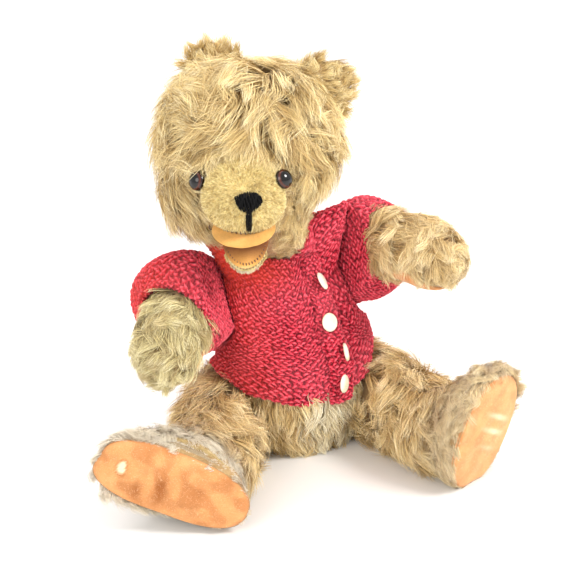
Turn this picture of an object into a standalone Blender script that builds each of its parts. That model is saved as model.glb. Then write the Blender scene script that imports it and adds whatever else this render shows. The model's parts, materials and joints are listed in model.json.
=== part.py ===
"""Jointed teddy bear in a knitted cardigan, seated, as separate sub-parts.

Frame: metres, +Z up. The bear faces -Y and its left side is +X. The origin is
on the ground plane at the middle of the flat seat of the torso. Sizes below
are in millimetres and angles in degrees.
"""

import bpy
import bmesh
import numpy as np
from math import radians, sin, cos, pi
from mathutils import Matrix, Vector

for _old in list(bpy.data.objects):
    bpy.data.objects.remove(_old, do_unlink=True)

MM = 0.001
UP = np.array([0.0, 0.0, 1.0])
BACK = np.array([0.0, 1.0, 0.0])
SIDES = ("right", "left")
SIGN = {"right": -1, "left": 1}     # sign of X on each side of the bear

# ---------------------------------------------------------------- dimensions
GAP = 0.3            # clearance between neighbouring pieces
SKIN = 1.3           # backing cloth of the mohair plush
STUFFING_INSET = SKIN + 2.2 * GAP
TORSO_H = 128.0      # seat to neck joint plane
TORSO_DEPTH = 0.88   # torso depth over width
LEAN_X, LEAN_Y = -0.065, 0.035      # lean of the seated torso per unit height
NECK = np.array([TORSO_H * LEAN_X, TORSO_H * LEAN_Y, TORSO_H])

# joint planes: yaw turns the outward axis back, dip tips it down, at lies on the plane
JOINT_PLANES = {
    "shoulder_right": dict(sign=-1, yaw=25.0, dip=20.0, at=(-39.0, 4.0, 105.0)),
    "shoulder_left": dict(sign=1, yaw=16.0, dip=8.0, at=(21.5, 3.0, 110.0)),
    "hip_right": dict(sign=-1, yaw=20.0, dip=20.0, at=(-28.0, -2.0, 31.0)),
    "hip_left": dict(sign=1, yaw=8.0, dip=20.0, at=(25.0, -4.0, 31.0)),
}
TORSO_PRESS_R = {"shoulder": 34.0, "hip": 60.0}     # flattened area of the torso
LIMB_PRESS_R = 85.0                                 # flattened area of a limb

# card joint discs, steel washers and cotter pins
DISC_R = {"neck": 15.0, "shoulder": 11.5, "hip": 13.5}
DISC_T = 2.2
WASHER_R, WASHER_T = 6.5, 0.8
WIRE_R = 0.55
PIN_HOLE_R = 1.7
PIN_LEG_OFFSET = 0.75        # each leg of the pin from its axis
PIN_EYE_R = 2.1
PIN_CURL_R = 3.0
PIN_CLEARANCE = 0.9          # eye and tails beyond the hardware they hold
DISC_STANDOFF = GAP + SKIN + GAP + 1.2      # joint plane to just short of a disc
BORE_L = 12.0
SEAT_L = 10.0
POCKET_OVERRUN = 4.0         # pocket cutters reach this far past the joint plane

# turned forms: (radius, height), bottom to top
TORSO_PROFILE = [(0, 0), (12, 0), (23, 0), (32, 5), (38, 17), (42.5, 33),
                 (45.5, 51), (46, 69), (43, 86), (38, 102), (31, 115),
                 (23.5, 125), (12, 128), (0, 128)]
HEAD_PROFILE = [(0, 0.6), (13, 0.6), (25, 0.6), (34, 7), (42.5, 21), (48, 40),
                (50, 60), (48.5, 79), (42, 96), (30, 108.5), (15, 115), (0, 117)]
TORSO_RINGS, TORSO_SEGMENTS, HEAD_SEGMENTS = 20, 28, 24

# limbs
JOINT_KIND = {"arm": "shoulder", "leg": "hip"}
LIMB_HALF = {"arm": 16.8, "leg": 19.0}      # half thickness of the limb at its joint
LIMB_END = {"arm": {"right": (-97.0, -55.0, 97.0), "left": (66.5, -61.0, 127.0)},
            "leg": {"right": (-99.0, -87.5, 27.0), "left": (72.0, -112.0, 27.0)}}
LIMB_SEGMENTS = 14
# (along the limb, half height, half width, rise of the centre)
LEG_SECTIONS = [(-27, 0, 0, 0), (-24.5, 12, 11, 0), (-17, 22, 19, 0),
                (-4, 28, 23.5, 0), (14, 29.5, 24.5, 0), (34, 28, 24, 0),
                (54, 25.5, 23, 0), (72, 24, 22, 0), (86, 26, 22.5, 1.5),
                (97, 31, 24, 5), (107, 37.5, 25.5, 9), (114, 40.5, 26, 10.5),
                (119, 41, 25.5, 11)]
# (along the limb, half height, half width)
ARM_SECTIONS = [(-22, 0, 0), (-19.5, 10, 9.5), (-12, 17.5, 17), (-1, 21.5, 21),
                (13, 22, 21.5), (29, 21, 20.5), (45, 20, 19.5), (60, 19.5, 19),
                (73, 19.5, 19), (85, 18.5, 18), (95, 15, 14.5), (101.5, 9, 9),
                (104.5, 0, 0)]
PAW_BEND = 68.0                     # the paw curls down by this along the arm
ARM_RAISE = 0.30 * PAW_BEND         # the arm starts raised to allow for the curl
CURL_START, CURL_LENGTH, CURL_POWER = 22.0, 75.0, 1.1
CURL_STEPS = 12                     # steps along the curl between two sections
LEG_ROLL = {"right": 66.0, "left": 18.0}    # foot turned outwards about the leg
ROLL_START, ROLL_LENGTH = 20.0, 75.0
SOLE_YAW = {"right": -5.0, "left": 10.0}    # extra outward turn of the sole
SOLE_TIP = {"right": 3.0, "left": 9.0}      # toe leaning away from the bear
SLANT_START = 80.0                          # where the sole's slant sets in
SLANT_LENGTH = LEG_SECTIONS[-1][0] - SLANT_START

# ---------------------------------------------------------------- looks
MOHAIR = dict(colour=(0.56, 0.42, 0.23), roughness=0.9)
MUZZLE = dict(colour=(0.60, 0.50, 0.26), roughness=0.95)
FELT = dict(colour=(0.90, 0.50, 0.22), roughness=0.95)
MOUTH = dict(colour=(0.83, 0.42, 0.10), roughness=0.95)
KNITTED = dict(colour=(0.62, 0.035, 0.06), roughness=0.95)
WOODWOOL = dict(colour=(0.62, 0.50, 0.30), roughness=1.0)
CARD = dict(colour=(0.42, 0.33, 0.22), roughness=0.85)
STEEL = dict(colour=(0.55, 0.54, 0.52), roughness=0.35, metallic=1.0)
IVORY = dict(colour=(0.86, 0.84, 0.68), roughness=0.25)
BLACK = dict(colour=(0.012, 0.012, 0.014), roughness=0.7)
GLASS = dict(colour=(0.05, 0.018, 0.008), roughness=0.05)

parts = bpy.data.collections.new("teddy_bear")
cutters = bpy.data.collections.new("cutters")
for _collection in (parts, cutters):
    bpy.context.scene.collection.children.link(_collection)


def material(name, colour, roughness, metallic=0.0):
    made = bpy.data.materials.new(name)
    made.use_nodes = True
    shader = made.node_tree.nodes["Principled BSDF"]
    shader.inputs["Base Color"].default_value = (*colour, 1.0)
    shader.inputs["Roughness"].default_value = roughness
    shader.inputs["Metallic"].default_value = metallic
    return made


# ---------------------------------------------------------------- objects
def add_part(name, mesh, look, smooth=True):
    """A visible piece with a material of its own."""
    part = bpy.data.objects.new(name, mesh)
    parts.objects.link(part)
    mesh.materials.append(material(name, **look))
    if smooth:
        mesh.shade_smooth()
        mesh.set_sharp_from_angle(angle=radians(50))
    return part


def add_cutter(name, mesh):
    cutter = bpy.data.objects.new(name, mesh)
    cutters.objects.link(cutter)
    cutter.hide_render = True
    cutter.display_type = "WIRE"
    return cutter


def mesh_object(name, form, look=None):
    """Object from a bmesh: a part when it has a look, otherwise a cutter."""
    bmesh.ops.recalc_face_normals(form, faces=form.faces)
    mesh = bpy.data.meshes.new(name)
    form.to_mesh(mesh)
    form.free()
    return add_part(name, mesh, look) if look else add_cutter(name, mesh)


def cut(part, *cutter_objects):
    for cutter in cutter_objects:
        boolean = part.modifiers.new("cut_" + cutter.name, "BOOLEAN")
        boolean.operation = "DIFFERENCE"
        boolean.solver = "EXACT"
        boolean.object = cutter


def place(part, point, axis):
    """Move an object to the point and swing its +Z onto the axis."""
    spin = Vector((0, 0, 1)).rotation_difference(Vector(axis)).to_matrix().to_4x4()
    part.matrix_world = Matrix.Translation(Vector([c * MM for c in point])) @ spin
    return part


# ---------------------------------------------------------------- arithmetic
def unit(vector):
    vector = np.asarray(vector, float)
    return vector / np.linalg.norm(vector)


def ramp(value, start, length):
    """Rises evenly from 0 at the start to 1 a length further on."""
    return float(np.clip((value - start) / length, 0, 1))


def smooth_ramp(value, start, length):
    rise = ramp(value, start, length)
    return rise * rise * (3 - 2 * rise)


def middle_of(ring):
    return sum(ring) / len(ring)


def outward(sign, yaw, dip):
    """Axis to the side, turned back by yaw and tipped down by dip."""
    turn, tip = radians(yaw), radians(dip)
    return np.array([sign * cos(turn) * cos(tip), sin(turn) * cos(tip), -sin(tip)])


# joint name: (point on the joint plane, outward axis)
JOINTS = {name: (np.array(plane["at"]), outward(plane["sign"], plane["yaw"], plane["dip"]))
          for name, plane in JOINT_PLANES.items()}


# ---------------------------------------------------------------- forms
def unit_sphere(segments, rings):
    form = bmesh.new()
    bmesh.ops.create_uvsphere(form, u_segments=segments, v_segments=rings, radius=1.0)
    return form


def turned_form(profile, segments, shape):
    """UV sphere whose rings are carried to a profile, then shaped."""
    rings = len(profile) - 1
    form = unit_sphere(segments, rings)
    for vert in form.verts:
        k = int(round(np.arccos(np.clip(-vert.co.z, -1, 1)) / pi * rings))
        radius, z = profile[k]
        angle = np.arctan2(vert.co.y, vert.co.x) if 0 < k < rings else 0.0
        vert.co = Vector(shape(radius, z, angle)) * MM
    return form


def triangulate_quads(form):
    bmesh.ops.recalc_face_normals(form, faces=form.faces)
    bmesh.ops.triangulate(form, faces=[f for f in form.faces if len(f.verts) == 4],
                          quad_method="FIXED")
    return form


def shrink(form, inset):
    """Triangulate a closed surface and move it inwards by an even thickness."""
    triangulate_quads(form)
    if inset:
        form.normal_update()
        moved = [v.co - v.normal * (inset * MM * min(v.calc_shell_factor(), 1.6))
                 for v in form.verts]
        for vert, position in zip(form.verts, moved):
            vert.co = position
    return form


def press_flat(form, origin, axis, level, within):
    """Flatten what stands past a level along the axis, near the axis only."""
    for vert in form.verts:
        point = np.array(vert.co) / MM
        height = float(np.dot(point - origin, axis))
        if height > level:
            away = point - origin - height * axis
            if np.linalg.norm(away) < within:
                vert.co = Vector(point - (height - level) * axis) * MM


def loft(rings):
    """Closed surface through rings; a ring of one point closes to a tip."""
    form = bmesh.new()
    rows = [[form.verts.new(Vector(point) * MM) for point in ring] for ring in rings]
    for row, after in zip(rows, rows[1:]):
        if len(row) == 1 or len(after) == 1:
            tip, ring = (row[0], after) if len(row) == 1 else (after[0], row)
            for i in range(len(ring)):
                form.faces.new((tip, ring[i], ring[(i + 1) % len(ring)]))
        else:
            for i in range(len(row)):
                j = (i + 1) % len(row)
                form.faces.new((row[i], row[j], after[j], after[i]))
    for row in (rows[0], rows[-1]):
        if len(row) > 2:
            form.faces.new(row)
    bmesh.ops.recalc_face_normals(form, faces=form.faces)
    return form


def patch(name, look, rows, normals, thick):
    """Thin cloth piece: a grid of points and its copy moved out, sewn round."""
    rows = np.array(rows, float)
    row_count, column_count, _ = rows.shape
    form = bmesh.new()
    lower = [[form.verts.new(Vector(rows[i, j]) * MM) for j in range(column_count)]
             for i in range(row_count)]
    upper = [[form.verts.new(Vector(rows[i, j] + normals[i][j] * thick) * MM)
              for j in range(column_count)] for i in range(row_count)]
    for i in range(row_count - 1):
        for j in range(column_count - 1):
            form.faces.new((lower[i][j], lower[i + 1][j],
                            lower[i + 1][j + 1], lower[i][j + 1]))
            form.faces.new((upper[i][j], upper[i][j + 1],
                            upper[i + 1][j + 1], upper[i + 1][j]))
    rim = ([(i, 0) for i in range(row_count)]
           + [(row_count - 1, j) for j in range(1, column_count)]
           + [(i, column_count - 1) for i in range(row_count - 2, -1, -1)]
           + [(0, j) for j in range(column_count - 2, 0, -1)])
    for (a, b), (c, d) in zip(rim, rim[1:] + rim[:1]):
        form.faces.new((lower[a][b], lower[c][d], upper[c][d], upper[a][b]))
    return mesh_object(name, form, look)


def cylinder(name, radius, height, segments, point, axis, look=None, hole=0.0):
    """Disc centred on the point, along the axis; a washer when it has a hole."""
    form = bmesh.new()
    bmesh.ops.create_cone(form, cap_ends=True, segments=segments, radius1=radius * MM,
                          radius2=radius * MM, depth=height * MM)
    if hole:
        caps = [f for f in form.faces if len(f.verts) == segments]
        bmesh.ops.inset_region(form, faces=caps, thickness=(radius - hole) * MM,
                               use_even_offset=True)
        caps = [f for f in form.faces if len(f.verts) == segments]
        bmesh.ops.bridge_loops(form, edges=[e for f in caps for e in f.edges])
        bmesh.ops.delete(form, geom=caps, context="FACES_ONLY")
    return place(mesh_object(name, form, look), point, axis)


def screwed(name, profile, look, point, axis, steps=18):
    """Turned piece: profile of (radius, height) spun about its axis."""
    form = bmesh.new()
    verts = [form.verts.new((radius * MM, 0, z * MM)) for radius, z in profile]
    for start, end in zip(verts, verts[1:]):
        form.edges.new((start, end))
    mesh = bpy.data.meshes.new(name)
    form.to_mesh(mesh)
    form.free()
    part = add_part(name, mesh, look, smooth=False)
    turn = part.modifiers.new("turn", "SCREW")
    turn.steps = steps
    turn.render_steps = steps
    turn.use_merge_vertices = True
    turn.merge_threshold = 0.00001
    return place(part, point, axis)


# ---------------------------------------------------------------- joint hardware
def cotter_pin(name, point, axis, limb_side, body_side):
    """Bent wire: an eye in the limb, two legs through the discs, curled tails."""
    half = [(PIN_LEG_OFFSET, limb_side - 0.5), (PIN_LEG_OFFSET, 0.0)]
    tail_steps = 3
    for k in range(tail_steps + 1):
        angle = pi * 0.95 * k / tail_steps
        half.append((PIN_LEG_OFFSET + PIN_CURL_R - PIN_CURL_R * cos(angle),
                     -body_side - PIN_CURL_R * 0.9 * sin(angle)))
    eye = []
    for k in range(7):
        angle = radians(230) - radians(280) * k / 6
        eye.append((PIN_EYE_R * cos(angle), limb_side + PIN_EYE_R + PIN_EYE_R * sin(angle)))
    path = [(-x, z) for x, z in reversed(half)] + eye + half

    curve = bpy.data.curves.new(name, "CURVE")
    curve.dimensions = "3D"
    curve.bevel_depth = WIRE_R * MM
    curve.bevel_resolution = 1
    curve.use_fill_caps = True
    spline = curve.splines.new("POLY")
    spline.points.add(len(path) - 1)
    for node, (x, z) in zip(spline.points, path):
        node.co = (x * MM, 0.0, z * MM, 1.0)
    wire = bpy.data.objects.new(name, curve)
    bpy.context.scene.collection.objects.link(wire)
    depsgraph = bpy.context.evaluated_depsgraph_get()
    mesh = bpy.data.meshes.new_from_object(wire.evaluated_get(depsgraph))
    bpy.data.objects.remove(wire, do_unlink=True)

    form = bmesh.new()
    form.from_mesh(mesh)
    bmesh.ops.remove_doubles(form, verts=form.verts, dist=0.00002)
    bmesh.ops.recalc_face_normals(form, faces=form.faces)
    form.to_mesh(mesh)
    form.free()
    place(add_part(name, mesh, STEEL), point, axis)


def joint_hardware(joint, point, axis, limb):
    """Discs, washer and pin of one joint; returns the cutters it needs."""
    disc_r = DISC_R[joint.split("_")[0]]
    disc_start = DISC_STANDOFF + GAP
    disc_end = disc_start + DISC_T
    washer_end = disc_end + GAP + WASHER_T
    cylinder(f"{joint}_body_disc", disc_r, DISC_T, 16,
             point - axis * (disc_start + DISC_T / 2), axis, CARD, hole=PIN_HOLE_R)
    cylinder(f"{joint}_{limb}_disc", disc_r, DISC_T, 16,
             point + axis * (disc_start + DISC_T / 2), axis, CARD, hole=PIN_HOLE_R)
    cylinder(joint + "_washer", WASHER_R, WASHER_T, 12,
             point - axis * (washer_end - WASHER_T / 2), axis, STEEL, hole=PIN_HOLE_R)
    cotter_pin(joint + "_cotter_pin", point, axis,
               disc_end + PIN_CLEARANCE, washer_end + PIN_CLEARANCE)

    made = {"bore": cylinder(f"cut_{joint}_bore", PIN_HOLE_R, BORE_L, 12, point, axis)}
    pocket_depths = {"body": washer_end + GAP + 6.0, "limb": disc_end + GAP + 7.0}
    for place_name, direction in (("body", -axis), ("limb", axis)):
        # the seat clears the inside of the cloth level behind the disc
        made[place_name + "_seat"] = cylinder(
            f"cut_{joint}_{place_name}_seat", disc_r + 0.4, SEAT_L, 18,
            point + direction * (GAP + SKIN + 0.2 + SEAT_L / 2), axis)
        # the pocket makes room for the hardware in the stuffing
        depth = pocket_depths[place_name]
        made[place_name + "_pocket"] = cylinder(
            f"cut_{joint}_{place_name}_pocket", disc_r + 0.5, depth + POCKET_OVERRUN, 18,
            point + direction * (depth - POCKET_OVERRUN) / 2, axis)
    return made


HARDWARE = {"neck": joint_hardware("neck", NECK, UP, "head")}
for _side in SIDES:
    for _limb, _kind in JOINT_KIND.items():
        _joint = f"{_kind}_{_side}"
        HARDWARE[_joint] = joint_hardware(_joint, *JOINTS[_joint], _limb)


# ---------------------------------------------------------------- torso
def torso_shape(radius, z, angle):
    """Point of the leaning oval torso, with a belly swelling forwards."""
    belly = 1.0 + 0.05 * np.exp(-((z - 45.0) / 30.0) ** 2)
    y = radius * TORSO_DEPTH * sin(angle)
    if y < 0:
        y *= belly
    return (radius * cos(angle) + LEAN_X * z, y + LEAN_Y * z, z)


def refined(profile, rings):
    """The same profile with its points spread evenly along its length."""
    points = np.array(profile, float)
    lengths = np.linalg.norm(np.diff(points, axis=0), axis=1)
    run = np.concatenate([[0], np.cumsum(lengths)])
    return [(float(np.interp(at, run, points[:, 0])), float(np.interp(at, run, points[:, 1])))
            for at in np.linspace(0, run[-1], rings + 1)]


def torso_form(inset):
    """Torso pressed flat at its joint planes, drawn in by the inset."""
    form = turned_form(refined(TORSO_PROFILE, TORSO_RINGS), TORSO_SEGMENTS, torso_shape)
    for joint, (point, axis) in JOINTS.items():
        press_flat(form, point, axis, -GAP, within=TORSO_PRESS_R[joint.split("_")[0]])
    for vert in form.verts:
        vert.co.z = min(vert.co.z, (TORSO_H - GAP) * MM)
    return shrink(form, inset)


def build_torso():
    """Cloth skin and its stuffing; returns the stuffing."""
    skin = mesh_object("torso_skin", torso_form(0.0), MOHAIR)
    cut(skin, mesh_object("cut_torso_hollow", torso_form(SKIN)))
    stuffing = mesh_object("torso_stuffing", torso_form(STUFFING_INSET), WOODWOOL)
    for joint in ("neck", *JOINTS):
        cut(skin, HARDWARE[joint]["bore"], HARDWARE[joint]["body_seat"])
        cut(stuffing, HARDWARE[joint]["body_pocket"])
    return stuffing


GROWLER_R, GROWLER_L, GROWLER_WALL = 15.0, 28.0, 1.5
GROWLER_HOLE_R = 4.0
GROWLER_Z = 66.0
GROWLER_BACK = np.array([LEAN_X * GROWLER_Z, 37.0, GROWLER_Z])
# (radius, height) of the weight
WEIGHT_PROFILE = [(0.0, 5.0), (10.0, 5.0), (11.5, 3.5), (11.5, -3.5), (10.0, -5.0),
                  (0.0, -5.0)]


def build_growler(stuffing):
    """Tilt growler: card case with a sound hole at the back, weight inside."""
    half = GROWLER_L / 2
    middle = GROWLER_BACK - BACK * half
    case = screwed("growler_case",
                   [(GROWLER_HOLE_R, half), (GROWLER_R, half), (GROWLER_R, -half),
                    (0.0, -half)], CARD, middle, BACK)
    wall = case.modifiers.new("wall", "SOLIDIFY")
    wall.thickness = GROWLER_WALL * MM
    wall.offset = -1.0
    screwed("growler_weight", WEIGHT_PROFILE, STEEL, middle, BACK)
    cut(stuffing, cylinder("cut_growler_pocket", GROWLER_R + 0.5, GROWLER_L + 30.0, 20,
                           GROWLER_BACK, BACK))


build_growler(build_torso())

# ---------------------------------------------------------------- head
HEAD_TURN = radians(-22.0)                                      # to the bear's right
FACE = np.array([sin(HEAD_TURN), -cos(HEAD_TURN), 0.0])         # the way the head faces
CHEEK = np.array([cos(HEAD_TURN), sin(HEAD_TURN), 0.0])         # to the bear's left
HEAD_DEPTH = 0.9                                    # head depth over width
HEAD_SHIFT = np.array([-15.0, -3.0])                # head over the neck, in x and y
CHEEK_FALL = 0.48                                   # share of the left cheek drawn in
CHEEK_FALL_START = 20.0                             # sideways from the middle
MUZZLE_Z, MUZZLE_OUT = 48.0, 27.0
MUZZLE_SPREAD_X, MUZZLE_SPREAD_Z = 24.0, 21.0


def head_shape(radius, z, angle):
    """Point of the cranium, sheared onto the neck, with its muzzle swelling."""
    shift = NECK[:2] + HEAD_SHIFT * smooth_ramp(z, 0.6, 34.0)
    side, front = radius * cos(angle), radius * HEAD_DEPTH * sin(angle)
    if front < 0:                                    # the face side
        reach = -front
        spread = np.exp(-(side / MUZZLE_SPREAD_X) ** 2
                        - ((z - MUZZLE_Z) / MUZZLE_SPREAD_Z) ** 2)
        reach += MUZZLE_OUT * spread * min(reach / 20.0, 1.0)
        front = -reach
    # the left cheek falls away towards the neck
    fall = CHEEK_FALL * smooth_ramp(z, 4.0, 8.0) * (1 - smooth_ramp(z, 30.0, 40.0))
    side -= fall * max(side - CHEEK_FALL_START, 0.0)
    across = side * CHEEK - front * FACE
    return (shift[0] + across[0], shift[1] + across[1], NECK[2] + z)


def head_form(inset):
    """The head's form, drawn in towards its middle when inset."""
    form = triangulate_quads(turned_form(HEAD_PROFILE, HEAD_SEGMENTS, head_shape))
    middle = Vector(head_shape(0.0, 50.0, 0.0)) * MM
    for vert in form.verts:
        ray = vert.co - middle
        vert.co = middle + ray * (1 - 1.25 * inset * MM / ray.length)
    return form


def face_point(side, z):
    """Point on the face at a sideways offset and height above the neck."""
    radii, heights = zip(*HEAD_PROFILE)
    radius = float(np.interp(z, heights, radii))
    return np.array(head_shape(radius, z, -np.arccos(np.clip(side / radius, -1, 1))))


def face_normal(side, z):
    step = 1.5
    sideways = face_point(side + step, z) - face_point(side - step, z)
    upwards = face_point(side, z + step) - face_point(side, z - step)
    return unit(np.cross(sideways, upwards))


def build_head():
    skin = mesh_object("head_skin", head_form(0.0), MOHAIR)
    cut(skin, mesh_object("cut_head_hollow", head_form(SKIN)), HARDWARE["neck"]["bore"])
    stuffing = mesh_object("head_stuffing", head_form(STUFFING_INSET), WOODWOOL)
    cut(stuffing, HARDWARE["neck"]["limb_pocket"])


COVER_BOTTOM, COVER_TOP = 37.0, 71.0
COVER_WIDEST_Z, COVER_HALF_WIDTH = 47.0, 21.5
COVER_RISE, COVER_DROP = 25.0, 15.5     # oval half heights above and below the widest
COVER_T = 1.6


def build_muzzle_cover():
    """Short-pile cloth over the muzzle, narrower on the bear's left."""
    rows, normals = [], []
    for z in np.linspace(COVER_BOTTOM, COVER_TOP, 7):
        height = (z - COVER_WIDEST_Z) / (COVER_RISE if z > COVER_WIDEST_Z else COVER_DROP)
        width = COVER_HALF_WIDTH * np.sqrt(max(1 - height * height, 0.05))
        left_share = 0.86 if z < 52 else 0.62
        offsets = [x * width * (1.0 if x < 0 else left_share) for x in np.linspace(-1, 1, 9)]
        normals.append([face_normal(side, z) for side in offsets])
        rows.append([face_point(side, z) + normal * COVER_T
                     for side, normal in zip(offsets, normals[-1])])
    patch("muzzle_cover", MUZZLE, rows, normals, COVER_T)


def face_form(name, look, centre, radii, bend=0.0, rings=7):
    """Ellipsoid of (across, deep, high) radii; bend lifts its front per 10."""
    form = unit_sphere(12, rings)
    for vert in form.verts:
        x, y, z = (c * radius for c, radius in zip(vert.co, radii))
        z -= bend * y / 10.0
        vert.co = Vector(centre + CHEEK * x - FACE * y + UP * z) * MM
    return mesh_object(name, form, look)


def build_mouth(head_outside):
    """Felt upper lip under the muzzle and a felt-lined lower jaw hanging open."""
    lip_centre = face_point(-1.0, 33.0) + FACE * 2.0 - UP * 1.0
    jaw_centre = face_point(-2.0, 22.0) + FACE * 4.0 - UP * 2.0
    for name, look, centre, radii, bend in (
            ("upper_mouth_felt", MOUTH, lip_centre, (18.0, 16.0, 1.5), -1.5),
            ("lower_jaw", MUZZLE, jaw_centre, (14.0, 18.0, 4.5), -5.0),
            ("lower_mouth_felt", MOUTH, jaw_centre + UP * 6.4, (13.0, 17.0, 1.2), -5.0)):
        cut(face_form(name, look, centre, radii, bend), head_outside)


NOSE_SIDE, NOSE_Z, NOSE_OUT = 1.5, 53.0, 6.2


def build_nose():
    """Embroidered pad of thread."""
    centre = face_point(NOSE_SIDE, NOSE_Z) + face_normal(NOSE_SIDE, NOSE_Z) * NOSE_OUT
    face_form("nose_stitching", BLACK, centre, (6.4, 1.8, 5.0), rings=6)


EYE_SIDE = {"right": -24.8, "left": 19.5}
EYE_Z, EYE_OUT = 60.5, 3.4
EYE_R, EYE_DOME, EYE_BACK = 6.6, 5.4, 1.0


def build_eye(side):
    """Glass dome with a shallow back."""
    form = unit_sphere(14, 8)
    for vert in form.verts:
        deep = EYE_DOME if vert.co.z > 0 else EYE_BACK
        vert.co = Vector((vert.co.x * EYE_R, vert.co.y * EYE_R, vert.co.z * deep)) * MM
    normal = face_normal(EYE_SIDE[side], EYE_Z)
    place(mesh_object("eye_" + side, form, GLASS),
          face_point(EYE_SIDE[side], EYE_Z) + normal * EYE_OUT, normal)


# tilt from upright, and reach from the middle of the head to the ear's centre
EARS = {"right": dict(tilt=19.0, reach=59.0), "left": dict(tilt=48.0, reach=62.0)}
EAR_HALF_W, EAR_HALF_T, EAR_HALF_H = 17.0, 5.0, 16.5
EAR_DISH = 4.0       # depth of the hollow in the front of the ear
EAR_FORWARD = 1.0


def build_ear(side, head_outside):
    """Plush cup, hollowed at the front."""
    tilt = radians(EARS[side]["tilt"])
    lift = unit(CHEEK * SIGN[side] * sin(tilt) + UP * cos(tilt) - FACE * 0.10)
    centre = np.array(head_shape(0.0, 60.0, 0.0)) + lift * EARS[side]["reach"]
    across = unit(np.cross(FACE, lift))
    forward = unit(np.cross(lift, across))
    form = unit_sphere(14, 8)
    for vert in form.verts:
        x, y, z = vert.co.x * EAR_HALF_W, vert.co.y * EAR_HALF_T, vert.co.z * EAR_HALF_H
        dish = EAR_DISH * (1 - (x / EAR_HALF_W) ** 2) * (1 - (z / EAR_HALF_H) ** 2)
        y -= dish * (1 if y > 0 else 0.3)
        vert.co = Vector(centre + across * x + forward * (y + EAR_FORWARD) + lift * z) * MM
    cut(mesh_object("ear_" + side, form, MOHAIR), head_outside)


build_head()
build_muzzle_cover()
_head_outside = mesh_object("cut_head_outside", head_form(-0.5))
build_mouth(_head_outside)
build_nose()
for _side in SIDES:
    build_eye(_side)
    build_ear(_side, _head_outside)


# ---------------------------------------------------------------- limbs
def joint_name(limb, side):
    return f"{JOINT_KIND[limb]}_{side}"


def limb_span(limb, side):
    """Centre of the limb at its joint, and the point it reaches to."""
    point, axis = JOINTS[joint_name(limb, side)]
    return point + axis * (LIMB_HALF[limb] + GAP), np.array(LIMB_END[limb][side])


def upright(along):
    """Most nearly vertical direction square to a limb."""
    return unit(UP - along * along[2])


def oval(middle, along, up, across, half_height, half_width, top_slope=0.0,
         side_slope=0.0):
    """Ring of points, slanted along the limb by its slopes; one point if flat."""
    if half_height == 0:
        return [middle]
    ring = []
    for k in range(LIMB_SEGMENTS):
        angle = 2 * pi * k / LIMB_SEGMENTS
        height, width = half_height * cos(angle), half_width * sin(angle)
        ring.append(middle + up * height + across * width
                    + along * (top_slope * height + side_slope * width))
    return ring


def arm_rings(side):
    """Rings along an arm that starts raised and curls down to the paw."""
    centre, end = limb_span("arm", side)
    chord = unit(end - centre)
    raised = radians(ARM_RAISE)
    start = unit(chord * cos(raised) + upright(chord) * sin(raised))
    start_up = upright(start)
    across = np.cross(start, start_up)

    def directions(at):
        bend = radians(PAW_BEND) * ramp(at, CURL_START, CURL_LENGTH) ** CURL_POWER
        return (start * cos(bend) - start_up * sin(bend),
                start_up * cos(bend) + start * sin(bend))

    last = ARM_SECTIONS[0][0]
    middle = centre + start * last
    rings = []
    for at, half_height, half_width in ARM_SECTIONS:
        step = (at - last) / CURL_STEPS
        for k in range(CURL_STEPS):
            middle = middle + directions(last + step * (k + 0.5))[0] * step
        last = at
        rings.append(oval(middle, *directions(at), across, half_height, half_width))
    return rings


def leg_rings(side):
    """Rings along a straight leg whose foot rolls outwards, sole slanted."""
    centre, end = limb_span("leg", side)
    along = unit(end - centre)
    scale = float(np.linalg.norm(end - centre)) / LEG_SECTIONS[-1][0]
    up = upright(along)
    out = np.cross(along, up)
    if out[0] * SIGN[side] < 0:
        out = -out
    rings = []
    for at, half_height, half_width, rise in LEG_SECTIONS:
        roll = radians(LEG_ROLL[side]) * smooth_ramp(at, ROLL_START, ROLL_LENGTH)
        rolled_up = up * cos(roll) + out * sin(roll)
        rolled_out = out * cos(roll) - up * sin(roll)
        slant = ramp(at, SLANT_START, SLANT_LENGTH)
        rings.append(oval(centre + along * at * scale + rolled_up * rise,
                          along, rolled_up, rolled_out, half_height, half_width,
                          top_slope=np.tan(radians(SOLE_TIP[side])) * slant,
                          side_slope=-np.tan(radians(SOLE_YAW[side])) * slant))
    return rings


LIMB_RINGS = {"arm": arm_rings, "leg": leg_rings}


def limb_form(limb, side, inset=0.0, past=0.0):
    """Closed form of a limb; past pushes the sole out, for an open foot."""
    form = loft(LIMB_RINGS[limb](side))
    point, axis = JOINTS[joint_name(limb, side)]
    press_flat(form, point, -axis, -GAP, within=LIMB_PRESS_R)
    if limb == "leg":
        for vert in form.verts:
            vert.co.z = max(vert.co.z, 0.0)
    sole = list(form.verts)[-LIMB_SEGMENTS:]
    shrink(form, inset)
    if past:
        centre, end = limb_span(limb, side)
        for vert in sole:
            vert.co += Vector(unit(end - centre) * past * MM)
    return form


def build_limb(limb, side, past):
    """Cloth skin and its stuffing; returns the stuffing."""
    hardware = HARDWARE[joint_name(limb, side)]
    skin = mesh_object(f"{limb}_skin_{side}", limb_form(limb, side), MOHAIR)
    hollow = mesh_object(f"cut_{limb}_hollow_{side}", limb_form(limb, side, SKIN, past))
    cut(skin, hollow, hardware["bore"], hardware["limb_seat"])
    stuffing = mesh_object(f"{limb}_stuffing_{side}", limb_form(limb, side, STUFFING_INSET),
                           WOODWOOL)
    cut(stuffing, hardware["limb_pocket"])
    return stuffing


SOLE_OPENING = 8.0       # the leg's hollow runs this far out through the sole
FOOT_END_L, FOOT_END_DEPTH = 40.0, 5.0      # block that trims the stuffing at the foot
SOLE_EDGE = SKIN + 1.9   # sole pieces inside the rim of the foot
SOLE_FLOOR = SKIN + 1.3  # lowest height of the sole pieces
# (name, look, set back from the sole, thickness)
SOLE_LAYERS = (("foot_pad_", FELT, 0.0, 1.7), ("insole_card_", CARD, 2.3, 1.6))


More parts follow.
